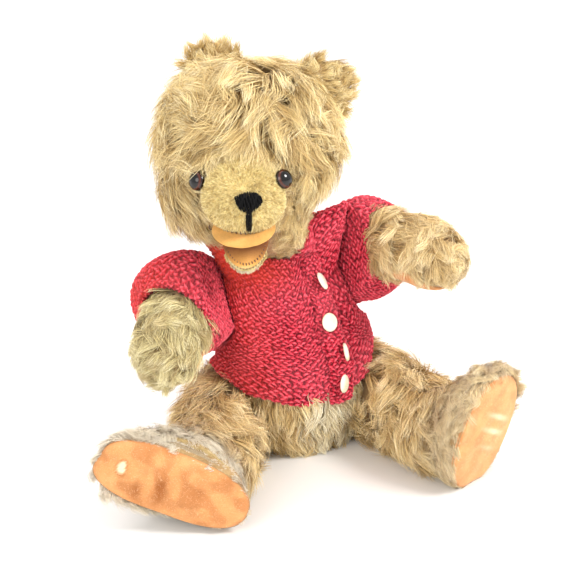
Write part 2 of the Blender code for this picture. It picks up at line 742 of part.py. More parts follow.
def build_sole(side, stuffing):
    """Felt pad and card insole closing the open foot."""
    rim = leg_rings(side)[-1]
    middle = middle_of(rim)
    centre, end = limb_span("leg", side)
    outwards = unit(np.cross(rim[0] - middle, rim[LIMB_SEGMENTS // 4] - middle))
    if np.dot(outwards, end - centre) < 0:
        outwards = -outwards
    cut(stuffing, cylinder("cut_foot_end_" + side, 60.0, FOOT_END_L, 8,
                           middle + outwards * (FOOT_END_L / 2 - FOOT_END_DEPTH), outwards))
    outline = [middle + (p - middle) * (1 - SOLE_EDGE / np.linalg.norm(p - middle))
               for p in rim]
    for name, look, back, thick in SOLE_LAYERS:
        form = loft([[p - outwards * depth for p in outline]
                     for depth in (back, back + thick)])
        for vert in form.verts:
            vert.co.z = max(vert.co.z, SOLE_FLOOR * MM)
        mesh_object(name + side, form, look)


PAD_RINGS = (7, 8, 9, 10)            # arm sections under the paw pad
PAD_COLUMNS = (5, 6, 7, 8, 9)        # points of each ring, round the underside
PAD_CLEARANCE, PAD_T = 0.6, 1.4


def build_paw_pad(side):
    rings = arm_rings(side)
    rows, normals = [], []
    for i in PAD_RINGS:
        middle = middle_of(rings[i])
        normals.append([unit(rings[i][k] - middle) for k in PAD_COLUMNS])
        rows.append([rings[i][k] + normal * PAD_CLEARANCE
                     for k, normal in zip(PAD_COLUMNS, normals[-1])])
    patch("paw_pad_" + side, FELT, rows, normals, PAD_T)


for _side in SIDES:
    build_limb("arm", _side, past=0.0)
    build_paw_pad(_side)
    build_sole(_side, build_limb("leg", _side, past=SOLE_OPENING))

# ---------------------------------------------------------------- cardigan
KNIT = 4.6                           # thickness of the knitted fabric
HEM_Z, COLLAR_Z = 46.0, 125.0
CARDIGAN_LEVELS = np.linspace(HEM_Z, COLLAR_Z, 8)
CARDIGAN_EASE = 1.6                  # fabric off the torso
BAND_ANGLE = radians(17.0)           # button band, to the bear's left of the front
BAND_HALF_ANGLE = radians(9.0)
OPENING_HALF_ANGLE = radians(1.5)    # slit in the body under the band
BAND_T = 2.6
BAND_INNER = CARDIGAN_EASE + KNIT + GAP
BAND_OUTER = BAND_INNER + BAND_T
ARMHOLE_R, ARMHOLE_L, ARMHOLE_OUT = 23.5, 50.0, 10.0
# the sweeps clear the cardigan body beyond each joint plane
ARM_SWEEP_R = {"right": 38.0, "left": 36.0}
ARM_SWEEP_L = 40.0
LEG_SWEEP_R, LEG_SWEEP_L = 35.0, 50.0
SLEEVE_TRIM_R, SLEEVE_TRIM_L = 90.0, 60.0
SWEEP_OVERLAP = 2 * GAP              # how far a sweep or trim crosses the joint plane
SLEEVES = {"right": dict(reach=47.0, flare=5.5), "left": dict(reach=43.0, flare=3.5)}
SLEEVE_EASE = 1.4
SLEEVE_T = 0.8 * KNIT


def around_torso(grow, z, angle):
    """Point off the torso at an angle from straight ahead, to its left."""
    radii, heights = zip(*TORSO_PROFILE[2:-1])
    radius = float(np.interp(z, heights, radii))
    point = np.array(torso_shape(radius, z, angle - pi / 2))
    return point + unit(point - np.array([LEAN_X * z, LEAN_Y * z, z])) * grow


def panel(start, end, steps, inner, outer):
    """Cloth panel standing round the torso between two angles."""
    form = bmesh.new()
    grid = {}
    rows = len(CARDIGAN_LEVELS)
    for i, z in enumerate(CARDIGAN_LEVELS):
        for j in range(steps + 1):
            angle = start + (end - start) * j / steps
            for k, grow in enumerate((inner, outer)):
                grid[i, j, k] = form.verts.new(Vector(around_torso(grow, z, angle)) * MM)
    for i in range(rows - 1):
        for j in range(steps):
            for k in (0, 1):
                form.faces.new((grid[i, j, k], grid[i, j + 1, k],
                                grid[i + 1, j + 1, k], grid[i + 1, j, k]))
        for j in (0, steps):
            form.faces.new((grid[i, j, 0], grid[i + 1, j, 0],
                            grid[i + 1, j, 1], grid[i, j, 1]))
    for i in (0, rows - 1):
        for j in range(steps):
            form.faces.new((grid[i, j, 0], grid[i, j + 1, 0],
                            grid[i, j + 1, 1], grid[i, j, 1]))
    return form


def build_cardigan_body():
    """Knitted wrap, open under the band, with room for the arms and legs."""
    body = mesh_object("cardigan_body",
                       panel(BAND_ANGLE + OPENING_HALF_ANGLE,
                             BAND_ANGLE - OPENING_HALF_ANGLE + 2 * pi, 30,
                             CARDIGAN_EASE, CARDIGAN_EASE + KNIT), KNITTED)
    for side in SIDES:
        tag = side[0]
        point, axis = JOINTS["shoulder_" + side]
        cut(body,
            cylinder("cut_armhole_" + tag, ARMHOLE_R, ARMHOLE_L, 16,
                     point + axis * ARMHOLE_OUT, axis),
            cylinder("cut_arm_sweep_" + tag, ARM_SWEEP_R[side], ARM_SWEEP_L, 20,
                     point + axis * (ARM_SWEEP_L / 2 - SWEEP_OVERLAP), axis))
        point, axis = JOINTS["hip_" + side]
        cut(body,
            cylinder("cut_leg_sweep_" + tag, LEG_SWEEP_R, LEG_SWEEP_L, 24,
                     point + axis * (LEG_SWEEP_L / 2 - SWEEP_OVERLAP), axis))


def build_button_band():
    mesh_object("button_band",
                panel(BAND_ANGLE - BAND_HALF_ANGLE, BAND_ANGLE + BAND_HALF_ANGLE, 4,
                      BAND_INNER, BAND_OUTER), KNITTED)


def build_sleeve(side):
    """Bell round the upper arm, open at the cuff and trimmed at the joint plane."""
    rings = arm_rings(side)
    reach, flare = SLEEVES[side]["reach"], SLEEVES[side]["flare"]
    outer, inner = [], []
    for k, (at, _, _) in enumerate(ARM_SECTIONS):
        if at > reach:
            break
        ring = rings[k]
        # the tip of the dome is pushed away from the next ring
        middle = middle_of(ring if len(ring) > 1 else rings[k + 1])
        grow = SLEEVE_EASE + flare * max((at + 1) / reach, 0.0) ** 2
        inner.append([p + unit(p - middle) * grow for p in ring])
        outer.append([p + unit(p - middle) * (grow + SLEEVE_T) for p in ring])
    sleeve = mesh_object("sleeve_" + side, loft(outer + inner[::-1]), KNITTED)
    point, axis = JOINTS["shoulder_" + side]
    cut(sleeve, cylinder("cut_sleeve_side_" + side[0], SLEEVE_TRIM_R, SLEEVE_TRIM_L, 20,
                         point - axis * (SLEEVE_TRIM_L / 2 - SWEEP_OVERLAP), axis))


BUTTON_R, BUTTON_T = 5.75, 3.0
BUTTON_CLEARANCE = 0.5
# (height, degrees round the torso from straight ahead), top to bottom
BUTTONS = ((116.0, 21.0), (93.0, 14.0), (73.0, 20.5), (53.5, 16.0))
# (radius, height): shallow dish, raised rim, flat back
BUTTON_PROFILE = [(0.0, 0.6), (3.4, 0.7), (4.4, 1.5), (5.2, 1.3), (BUTTON_R, 0.3),
                  (5.0, -1.2), (0.0, -BUTTON_T / 2)]


def build_button(number, z, degrees):
    """Turned button, square to the slope of the torso under it."""
    angle = radians(degrees)
    level = unit(around_torso(10.0, z, angle) - around_torso(0.0, z, angle))
    slope = unit(around_torso(0.0, z + 4, angle) - around_torso(0.0, z - 4, angle))
    normal = unit(np.cross(slope, unit(np.cross(level, slope))))
    seat = around_torso(BAND_OUTER + BUTTON_CLEARANCE + BUTTON_T / 2, z, angle)
    screwed("button_%d" % number, BUTTON_PROFILE, IVORY, seat, normal, steps=12)


build_cardigan_body()
build_button_band()
for _side in SIDES:
    build_sleeve(_side)
for _number, (_z, _degrees) in enumerate(BUTTONS, start=1):
    build_button(_number, _z, _degrees)
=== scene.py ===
"""Looks of the jointed teddy bear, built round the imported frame."""
import json
from math import radians, sin, cos, pi

import bpy
import bmesh
import numpy as np
from mathutils import Matrix, Vector, noise
from mathutils.bvhtree import BVHTree
from mathutils.kdtree import KDTree


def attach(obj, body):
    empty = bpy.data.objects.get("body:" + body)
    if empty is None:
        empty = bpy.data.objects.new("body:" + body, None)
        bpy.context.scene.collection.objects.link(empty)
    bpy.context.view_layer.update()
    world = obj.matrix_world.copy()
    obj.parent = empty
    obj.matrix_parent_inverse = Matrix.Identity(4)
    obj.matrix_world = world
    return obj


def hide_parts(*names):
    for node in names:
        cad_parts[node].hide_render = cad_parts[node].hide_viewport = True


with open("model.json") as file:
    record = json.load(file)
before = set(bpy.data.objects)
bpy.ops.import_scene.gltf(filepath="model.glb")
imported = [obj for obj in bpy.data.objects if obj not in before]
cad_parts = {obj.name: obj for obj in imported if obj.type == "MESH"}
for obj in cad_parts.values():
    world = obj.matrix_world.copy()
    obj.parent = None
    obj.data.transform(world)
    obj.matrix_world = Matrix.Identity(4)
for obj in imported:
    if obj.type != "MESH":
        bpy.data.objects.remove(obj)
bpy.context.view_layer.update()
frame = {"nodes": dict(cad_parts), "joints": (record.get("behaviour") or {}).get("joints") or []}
DENSE = 1.0

MM = 0.001
NODES = frame["nodes"]
JOINT = {j["name"]: j for j in frame["joints"]}


def unit(v):
    v = np.asarray(v, float)
    return v / np.linalg.norm(v)


def units(v):
    return v / np.maximum(np.linalg.norm(v, axis=-1, keepdims=True), 1e-9)


def outward(side, yaw, dip):
    y, d = radians(yaw), radians(dip)
    return np.array([side * cos(y) * cos(d), sin(y) * cos(d), -sin(d)])


# ------------------------------------------------ the frame's own dimensions (mm)
GAP, SKIN, KNIT = 0.3, 1.3, 4.6
TORSO_H, TORSO_DEPTH = 128.0, 0.88
LEAN_X, LEAN_Y = -0.065, 0.035
NECK = np.array([TORSO_H * LEAN_X, TORSO_H * LEAN_Y, TORSO_H])
HEAD_TURN = -22.0
SHOULDER = {"r": dict(side=-1, yaw=25.0, dip=20.0, at=(-39.0, 4.0, 105.0)),
            "l": dict(side=1, yaw=16.0, dip=8.0, at=(21.5, 3.0, 110.0))}
HIP = {"r": dict(side=-1, yaw=20.0, dip=20.0, at=(-28.0, -2.0, 31.0)),
       "l": dict(side=1, yaw=8.0, dip=20.0, at=(25.0, -4.0, 31.0))}
ARM_HALF, LEG_HALF = 16.8, 19.0
PAW = {"r": (-97.0, -55.0, 97.0), "l": (66.5, -61.0, 127.0)}
SOLE = {"r": (-99.0, -87.5, 27.0), "l": (72.0, -112.0, 27.0)}
LEG_ROLL = {"r": 66.0, "l": 18.0}
SOLE_YAW = {"r": -5.0, "l": 10.0}
SOLE_TIP = {"r": 3.0, "l": 9.0}
HEM_Z, COLLAR_Z, BAND_ANGLE = 46.0, 125.0, 17.0
BUTTON_Z = (116.0, 93.0, 73.0, 53.5)
BUTTON_ANGLE = (21.0, 14.0, 20.5, 16.0)
TORSO_PROFILE = [(0, 0), (12, 0), (23, 0), (32, 5), (38, 17), (42.5, 33),
                 (45.5, 51), (46, 69), (43, 86), (38, 102), (31, 115),
                 (23.5, 125), (12, 128), (0, 128)]
HEAD_PROFILE = [(0, 0.6), (13, 0.6), (25, 0.6), (34, 7), (42.5, 21), (48, 40),
                (50, 60), (48.5, 79), (42, 96), (30, 108.5), (15, 115), (0, 117)]
LEG_SECTIONS = [(-27, 0, 0, 0), (-24.5, 12, 11, 0), (-17, 22, 19, 0),
                (-4, 28, 23.5, 0), (14, 29.5, 24.5, 0), (34, 28, 24, 0),
                (54, 25.5, 23, 0), (72, 24, 22, 0), (86, 26, 22.5, 1.5),
                (97, 31, 24, 5), (107, 37.5, 25.5, 9), (114, 40.5, 26, 10.5),
                (119, 41, 25.5, 11)]
ARM_SECTIONS = [(-22, 0, 0, 0), (-19.5, 10, 9.5, 0), (-12, 17.5, 17, 0),
                (-1, 21.5, 21, 0), (13, 22, 21.5, 0), (29, 21, 20.5, 0),
                (45, 20, 19.5, 0), (60, 19.5, 19, 0), (73, 19.5, 19, 0),
                (85, 18.5, 18, 0), (95, 15, 14.5, 0), (101.5, 9, 9, 0),
                (104.5, 0, 0, 0)]
PAW_BEND = 68.0
SLEEVE = {"r": dict(reach=47.0, flare=5.5), "l": dict(reach=43.0, flare=3.5)}
SLEEVE_LOOK = {"r": dict(reach=57.0, puff=11.5, cuff=5.0, top=1.0, skew=6.0, out=3.0),
               "l": dict(reach=45.0, puff=10.5, cuff=6.0, top=3.0, skew=-1.0, out=0.0)}
SIDES = ("r", "l")
WORD = {"r": "right", "l": "left"}
UP = np.array([0.0, 0.0, 1.0])
JOINTS = {}
for _kind, _table in (("shoulder", SHOULDER), ("hip", HIP)):
    for _s, _d in _table.items():
        JOINTS[_kind + "_" + _s] = (np.array(_d["at"]),
                                    outward(_d["side"], _d["yaw"], _d["dip"]))
YAW = radians(HEAD_TURN)
FACE = np.array([sin(YAW), -cos(YAW), 0.0])
CHEEK = np.array([cos(YAW), sin(YAW), 0.0])
HEAD_SHIFT = np.array([-15.0, -3.0])
CHEEK_FALL = 0.48
MUZZLE_Z, MUZZLE_OUT = 48.0, 27.0


def spline_rows(table, count, ghost_start=False, ghost_end=False):
    """Rows of a table carried smoothly through its points."""
    p = np.array(table, float)
    a, b = p[1].copy(), p[-2].copy()
    for q, on in ((a, ghost_start), (b, ghost_end)):
        if on:
            q[1:3] *= -1
    start = a if ghost_start else 2 * p[0] - p[1]
    end = b if ghost_end else 2 * p[-1] - p[-2]
    ext = np.vstack([start, p, end])
    step = np.linalg.norm(np.diff(ext[:, :3], axis=0), axis=1) ** 0.5 + 1e-9
    t = np.concatenate([[0], np.cumsum(step)])
    want = np.linspace(t[1], t[-2], count)
    out = []
    for w in want:
        i = int(np.clip(np.searchsorted(t, w, "right") - 1, 1, len(p) - 1))
        t0, t1, t2, t3 = t[i - 1], t[i], t[i + 1], t[i + 2]
        p0, p1, p2, p3 = ext[i - 1], ext[i], ext[i + 1], ext[i + 2]
        m1 = ((p2 - p1) / (t2 - t1) - (p1 - p0) / (t1 - t0)) * (t2 - t1) / (t2 - t0) + (p1 - p0) / (t1 - t0)
        m2 = ((p3 - p2) / (t3 - t2) - (p2 - p1) / (t2 - t1)) * (t2 - t1) / (t3 - t1) + (p2 - p1) / (t2 - t1)
        h, u = t2 - t1, (w - t1) / (t2 - t1)
        out.append((2 * u**3 - 3 * u**2 + 1) * p1 + (u**3 - 2 * u**2 + u) * h * m1
                   + (-2 * u**3 + 3 * u**2) * p2 + (u**3 - u**2) * h * m2)
    return np.array(out)


def torso_shape(r, z, ang):
    belly = 1.0 + 0.05 * np.exp(-((z - 45.0) / 30.0) ** 2)
    y = r * TORSO_DEPTH * sin(ang)
    if y < 0:
        y *= belly
    return (r * cos(ang) + LEAN_X * z, y + LEAN_Y * z, z)


def head_shape(r, z, ang):
    f = min(max((z - 0.6) / 34.0, 0.0), 1.0)
    f = f * f * (3 - 2 * f)
    cx, cy = NECK[0] + HEAD_SHIFT[0] * f, NECK[1] + HEAD_SHIFT[1] * f
    side, front = r * cos(ang), r * 0.9 * sin(ang)
    if front < 0:
        reach = -front
        spread = np.exp(-(side / 24.0) ** 2 - ((z - MUZZLE_Z) / 21.0) ** 2)
        reach += MUZZLE_OUT * spread * min(reach / 20.0, 1.0)
        front = -reach
    # the left cheek falls away towards the neck
    u = min(max((z - 4.0) / 8.0, 0.0), 1.0)
    v = min(max((z - 30.0) / 40.0, 0.0), 1.0)
    fall = CHEEK_FALL * u * u * (3 - 2 * u) * (1 - v * v * (3 - 2 * v))
    side -= fall * max(side - 20.0, 0.0)
    p = side * CHEEK - front * FACE
    return (cx + p[0], cy + p[1], NECK[2] + z)


def head_point(side, z, out=0.0):
    rs = [p[0] for p in HEAD_PROFILE]
    zs = [p[1] for p in HEAD_PROFILE]
    order = np.argsort(zs, kind="stable")
    r = float(np.interp(z, np.array(zs)[order], np.array(rs)[order]))
    ang = -np.arccos(np.clip(side / max(r, 1e-6), -1, 1))
    return np.array(head_shape(r, z, ang)) + FACE * out


def face_normal(side, z):
    e = 1.5
    a = head_point(side + e, z) - head_point(side - e, z)
    b = head_point(side, z + e) - head_point(side, z - e)
    n = np.cross(a, b)
    n = n / np.linalg.norm(n)
    return n if np.dot(n, FACE) > 0 else -n


def limb_rings(kind, s, rows, segments):
    """Rings of points along a limb, with their centres, directions and ups."""
    point, n = JOINTS[kind + "_" + s]
    half = ARM_HALF if kind == "shoulder" else LEG_HALF
    centre = point + n * (half + GAP)
    end = np.array(PAW[s] if kind == "shoulder" else SOLE[s])
    side = -1 if s == "r" else 1
    out = []
    if kind == "shoulder":
        d0 = unit(end - centre)
        up0 = unit(UP - d0 * d0[2])
        start = radians(PAW_BEND * 0.30)
        d0 = unit(d0 * cos(start) + up0 * sin(start))
        up0 = unit(UP - d0 * d0[2])
        w = np.cross(d0, up0)
        first = rows[0][0]
        fine = np.linspace(first, 104.5, 600)
        ang = radians(PAW_BEND) * np.clip((fine - 22.0) / 75.0, 0, 1) ** 1.1
        dirs = d0[None, :] * np.cos(ang)[:, None] - up0[None, :] * np.sin(ang)[:, None]
        path = centre + d0 * first + np.concatenate(
            [[[0, 0, 0]], np.cumsum((dirs[1:] + dirs[:-1]) / 2 * np.diff(fine)[:, None], axis=0)])
        for a, hh, hw, rise in rows:
            pos = np.array([np.interp(a, fine, path[:, k]) for k in range(3)])
            g = radians(PAW_BEND) * float(np.clip((a - 22.0) / 75.0, 0, 1)) ** 1.1
            dd = d0 * cos(g) - up0 * sin(g)
            uu = up0 * cos(g) + d0 * sin(g)
            out.append((pos, dd, uu, w, hh, hw, rise, a))
    else:
        d = unit(end - centre)
        length = float(np.linalg.norm(end - centre))
        up = unit(UP - d * d[2])
        o = np.cross(d, up)
        if o[0] * side < 0:
            o = -o
        scale = length / LEG_SECTIONS[-1][0]
        for a, hh, hw, rise in rows:
            f = float(np.clip((a - 20.0) / 75.0, 0, 1))
            f = f * f * (3 - 2 * f)
            roll = radians(LEG_ROLL[s]) * f
            uu = up * cos(roll) + o * sin(roll)
            w = o * cos(roll) - up * sin(roll)
            out.append((centre + d * a * scale, d, uu, w, hh, hw, rise, a))
    th = 2 * pi * np.arange(segments) / segments
    P = np.zeros((len(out), segments, 3))
    for i, (pos, dd, uu, w, hh, hw, rise, a) in enumerate(out):
        A, B = max(hh, 0.0), max(hw, 0.0)
        e = np.outer(A * np.cos(th), uu) + np.outer(B * np.sin(th), w)
        if kind == "hip":
            f = float(np.clip((a - 80.0) / 39.0, 0, 1))
            tip = np.tan(radians(SOLE_TIP[s])) * f
            yaw = -np.tan(radians(SOLE_YAW[s])) * f
            e = e + np.outer(tip * A * np.cos(th) + yaw * B * np.sin(th), dd)
        P[i] = pos + uu * rise + e
    return P, out


def press(P, point, axis, level, within=None):
    """Flatten what stands past a plane onto it."""
    q = P - point
    s = q @ axis
    away = np.linalg.norm(q - s[..., None] * axis, axis=-1)
    hit = s > level
    if within is not None:
        hit &= away < within
    return np.where(hit[..., None], P - np.maximum(s - level, 0)[..., None] * axis, P)


# ------------------------------------------------ meshes from arrays
def put_mesh(name, verts, faces, mat, smooth=True, attrs=None):
    """Mesh object from an array of points (mm) and a list or array of faces."""
    verts = np.asarray(verts, float) * MM
    me = bpy.data.meshes.new(name)
    me.vertices.add(len(verts))
    me.vertices.foreach_set("co", verts.astype(np.float32).ravel())
    groups = faces if isinstance(faces, list) else [faces]
    idx = np.concatenate([np.asarray(g, np.int64).ravel() for g in groups])
    size = np.concatenate([np.full(len(g), np.asarray(g).shape[1], np.int64) for g in groups])
    start = np.concatenate([[0], np.cumsum(size)[:-1]])
    me.loops.add(len(idx))
    me.loops.foreach_set("vertex_index", idx.astype(np.int32))
    me.polygons.add(len(size))
    me.polygons.foreach_set("loop_start", start.astype(np.int32))
    me.polygons.foreach_set("use_smooth", np.full(len(size), bool(smooth)))
    me.update(calc_edges=True)
    me.validate()
    for key, val in (attrs or {}).items():
        a = me.attributes.new(key, "FLOAT_COLOR", "POINT")
        v = np.ones((len(verts), 4), np.float32)
        val = np.asarray(val, np.float32)
        v[:, :val.shape[1]] = val
        a.data.foreach_set("color", v.ravel())
    ob = bpy.data.objects.new(name, me)
    bpy.context.scene.collection.objects.link(ob)
    if mat is not None:
        me.materials.append(mat)
    return ob


def grid_faces(nu, nv, wrap=False, flip=False):
    """Quads of a grid of nu rows by nv columns; wrap joins the last column."""
    i, j = np.meshgrid(np.arange(nu - 1), np.arange(nv if wrap else nv - 1), indexing="ij")
    a = i * nv + j
    b = i * nv + (j + 1) % nv
    q = np.stack([a, b, b + nv, a + nv], -1).reshape(-1, 4)
    return q[:, ::-1] if flip else q


def grid_uv(ob, rows, cols, wrap=False):
    """Lay a grid's own rows and columns out as its bake coordinates."""
    me = ob.data
    li = np.zeros(len(me.loops), np.int32)
    me.loops.foreach_get("vertex_index", li)
    i, j = (li // cols).reshape(-1, 4), (li % cols).reshape(-1, 4)
    if wrap:
        over = (j.max(1) - j.min(1) > cols // 2)[:, None] & (j < cols // 2)
        j = np.where(over, j + cols, j)
    uvv = np.stack([(j + 0.5) / (cols + 1.0), (i + 0.5) / rows], -1).astype(np.float32)
    uv = me.uv_layers.new(name="OFBake")
    uv.data.foreach_set("uv", uvv.ravel())


def grid_normals(P, wrap=True):
    """Unit normals of a grid of points, outwards by the grid's own sense."""
    if wrap:
        du = np.roll(P, -1, 1) - np.roll(P, 1, 1)
    else:
        du = np.gradient(P, axis=1)
    dv = np.gradient(P, axis=0)
    return units(np.cross(du, dv))


def vnoise(points, scale, seed=0.0):
    """Smooth noise in three components, at a length scale in mm."""
    off = Vector((seed * 7.13, seed * 3.71, seed * 5.37))
    return np.array([noise.noise_vector(Vector(p / scale) + off) for p in points])


def snoise(points, scale, seed=0.0):
    off = Vector((seed * 7.13, seed * 3.71, seed * 5.37))
    return np.array([noise.noise(Vector(p / scale) + off) for p in points])


# ------------------------------------------------ materials
def nodes_of(name):
    m = bpy.data.materials.new(name)
    m.use_nodes = True
    nt = m.node_tree
    return m, nt, nt.nodes["Principled BSDF"]


def node(nt, kind, **values):
    n = nt.nodes.new(kind)
    for k, v in values.items():
        if k in n.inputs:
            n.inputs[k].default_value = v
        else:
            setattr(n, k, v)
    return n


def ramp(nt, source, stops):
    r = nt.nodes.new("ShaderNodeValToRGB")
    while len(r.color_ramp.elements) < len(stops):
        r.color_ramp.elements.new(0.5)
    for e, (pos, col) in zip(r.color_ramp.elements, stops):
        e.position = pos
        e.color = (*col, 1.0)
    nt.links.new(source, r.inputs[0])
    return r.outputs[0]


def mix(nt, fac, a, b, blend="MIX"):
    m = nt.nodes.new("ShaderNodeMix")
    m.data_type = "RGBA"
    m.blend_type = blend
    for socket, value in ((m.inputs[0], fac), (m.inputs[6], a), (m.inputs[7], b)):
        if hasattr(value, "is_output"):
            nt.links.new(value, socket)
        elif isinstance(value, tuple):
            socket.default_value = (*value, 1.0)
        else:
            socket.default_value = value
    return m.outputs[2]


def maths(nt, op, a, b=0.0, clamp=False):
    m = nt.nodes.new("ShaderNodeMath")
    m.operation = op
    m.use_clamp = clamp
    for socket, value in ((m.inputs[0], a), (m.inputs[1], b)):
        if hasattr(value, "is_output"):
            nt.links.new(value, socket)
        else:
            socket.default_value = value
    return m.outputs[0]


def noise_tex(nt, scale, detail=4.0, rough=0.6, vector=None):
    n = node(nt, "ShaderNodeTexNoise", Scale=scale, Detail=detail, Roughness=rough)
    if vector is None:
        vector = node(nt, "ShaderNodeTexCoord").outputs["Object"]
    nt.links.new(vector, n.inputs["Vector"])
    return n.outputs["Fac"]


def bump(nt, p, height, strength, distance=0.0003):
    b = node(nt, "ShaderNodeBump", Strength=strength, Distance=distance)
    nt.links.new(height, b.inputs["Height"])
    nt.links.new(b.outputs[0], p.inputs["Normal"])


def attribute(nt, name):
    a = node(nt, "ShaderNodeAttribute", attribute_name=name)
    s = nt.nodes.new("ShaderNodeSeparateColor")
    nt.links.new(a.outputs["Color"], s.inputs[0])
    return s.outputs[0], s.outputs[1], s.outputs[2], a.outputs["Alpha"]


def srgb(r, g, b):
    c = np.array([r, g, b]) / 255.0
    c = np.where(c <= 0.04045, c / 12.92, ((c + 0.055) / 1.055) ** 2.4)
    return tuple(float(x) for x in c)


def fur_material(name, root, mid, tip, light, rough=0.42, sheen=0.25):
    """Strands: x how far along, from painted shade at the root to a painted highlight at the tip, y the strand's own
    draw, z its lock's, a tone.
    """
    m, nt, p = nodes_of(name)
    along, own, lock, tone = attribute(nt, "fur")
    # along the strand: the pile's own colour, with painted shade at the dark root end and a painted highlight at the
    # pale tip end
    base = ramp(nt, along, [(0.0, root), (0.32, mid), (0.75, tip), (1.0, light)])
    shade = ramp(nt, lock, [(0.0, (0.56, 0.44, 0.28)), (0.22, (0.86, 0.79, 0.65)),
                            (0.6, (1.0, 1.0, 0.97)), (1.0, (1.10, 1.12, 1.14))])
    c = mix(nt, 0.85, base, shade, "MULTIPLY")
    # random strand tone; the top stops lift a few strands far brighter and whiter as painted glints
    fine = ramp(nt, own, [(0.0, (0.50, 0.40, 0.26)), (0.3, (0.90, 0.84, 0.72)), (0.7, (1.05, 1.04, 0.98)),
                          (0.84, (1.18, 1.10, 0.82)), (0.92, (1.24, 1.27, 1.26)), (1.0, (1.34, 1.38, 1.40))])
    c = mix(nt, 0.8, c, fine, "MULTIPLY")
    grey = mix(nt, 0.0, c, c)
    cool = mix(nt, tone, grey, mix(nt, 0.80, c, srgb(232, 226, 214)))
    nt.links.new(cool, p.inputs["Base Color"])
    p.inputs["Roughness"].default_value = rough
    p.inputs["Sheen Weight"].default_value = sheen
    p.inputs["Sheen Roughness"].default_value = 0.4
    p.inputs["Specular IOR Level"].default_value = 0.45
    return m


def cloth_material(name, dark, mid, light, scale=900.0, rough=0.92, sheen=0.4, strength=0.5):
    """Matted felt or backing cloth: mottled colour with a fine nap."""
    m, nt, p = nodes_of(name)
    broad = noise_tex(nt, scale * 0.06, 3.0)
    fine = noise_tex(nt, scale, 5.0, 0.7)
    both = maths(nt, "MULTIPLY_ADD", fine, 0.5)
    both.node.inputs[2].default_value = 0.0
    total = maths(nt, "ADD", maths(nt, "MULTIPLY", broad, 0.55), maths(nt, "MULTIPLY", fine, 0.45))
    c = ramp(nt, total, [(0.32, dark), (0.5, mid), (0.68, light)])
    nt.links.new(c, p.inputs["Base Color"])
    r = ramp(nt, fine, [(0.3, (rough, rough, rough)), (0.7, (rough * 0.86,) * 3)])
    nt.links.new(r, p.inputs["Roughness"])
    p.inputs["Sheen Weight"].default_value = sheen
    p.inputs["Sheen Roughness"].default_value = 0.5
    bump(nt, p, fine, strength)
    return m


# the root colour is painted shade deep in the pile, the last colour a painted highlight at the tips
ROOT_SHADE, MID, TIP, TIP_HIGHLIGHT = (srgb(124, 94, 50), srgb(204, 176, 122), srgb(240, 222, 172),
                         srgb(255, 246, 214))
MAT = {}
MAT["mohair"] = fur_material("mohair_pile", ROOT_SHADE, MID, TIP, TIP_HIGHLIGHT)
MAT["mohair_dark"] = fur_material("mohair_pile_legs", srgb(142, 106, 62), srgb(214, 184, 130),
                                  srgb(240, 220, 172), srgb(254, 242, 212))
MAT["mohair_paw"] = fur_material("mohair_pile_paws", srgb(98, 82, 46), srgb(172, 156, 108),
                                 srgb(216, 204, 156), srgb(246, 240, 208))
MAT["cream"] = fur_material("mohair_pile_belly", srgb(170, 150, 112), srgb(224, 212, 180),
                            srgb(240, 232, 208), srgb(250, 245, 230))
MAT["short"] = fur_material("short_pile", srgb(196, 172, 104), srgb(228, 210, 148),
                            srgb(240, 226, 172), srgb(250, 240, 200), rough=0.6)
MAT["backing"] = cloth_material("mohair_backing", srgb(124, 94, 56), srgb(168, 136, 88),
                                srgb(196, 166, 116), 700.0)
MAT["backing_cream"] = cloth_material("mohair_backing_pale", srgb(160, 140, 104),
                                      srgb(196, 180, 146), srgb(216, 204, 174), 700.0)
MAT["muzzle"] = cloth_material("muzzle_backing", srgb(186, 164, 100), srgb(214, 196, 136),
                               srgb(232, 218, 166), 1100.0)


def felt_pad_material(name, base, pale, stain):
    """Pad felt: x places the pale wear and the painted highlight on the left sole's creases, y the stains and the
    painted shade in the mouth, z the painted shade darkening the rim; the nap is fine and matted.
    """
    m, nt, p = nodes_of(name)
    x, y, rim, worn = attribute(nt, "pad")
    fine = noise_tex(nt, 1500.0, 6.0, 0.75)
    broad = noise_tex(nt, 75.0, 4.0, 0.6)
    c = ramp(nt, broad, [(0.30, tuple(v * 0.80 for v in base)), (0.5, base),
                         (0.72, tuple(min(1, v * 1.12 + 0.03) for v in base))])
    c = mix(nt, maths(nt, "MULTIPLY", y, 1.0), c, stain)
    c = mix(nt, x, c, pale)
    speck = ramp(nt, fine, [(0.35, (0.80, 0.78, 0.76)), (0.55, (1, 1, 1)), (0.8, (1.12, 1.12, 1.12))])
    c = mix(nt, 0.75, c, speck, "MULTIPLY")
    # painted shade: the rim darkens where the felt turns under
    c = mix(nt, maths(nt, "MULTIPLY", rim, 0.5), c, tuple(v * 0.62 for v in base))
    nt.links.new(c, p.inputs["Base Color"])
    nt.links.new(ramp(nt, fine, [(0.3, (0.96,) * 3), (0.8, (0.8,) * 3)]), p.inputs["Roughness"])
    p.inputs["Sheen Weight"].default_value = 0.5
    p.inputs["Sheen Tint"].default_value = (*pale, 1.0)
    bump(nt, p, fine, 0.6, 0.0003)
    return m


MAT["pad"] = felt_pad_material("pad_felt", srgb(228, 158, 98), srgb(250, 232, 196), srgb(164, 94, 36))
# its stain colour also paints the shade in the throat and at the back of the mouth
MAT["mouth"] = felt_pad_material("mouth_felt", srgb(226, 168, 88), srgb(244, 224, 176), srgb(132, 78, 40))


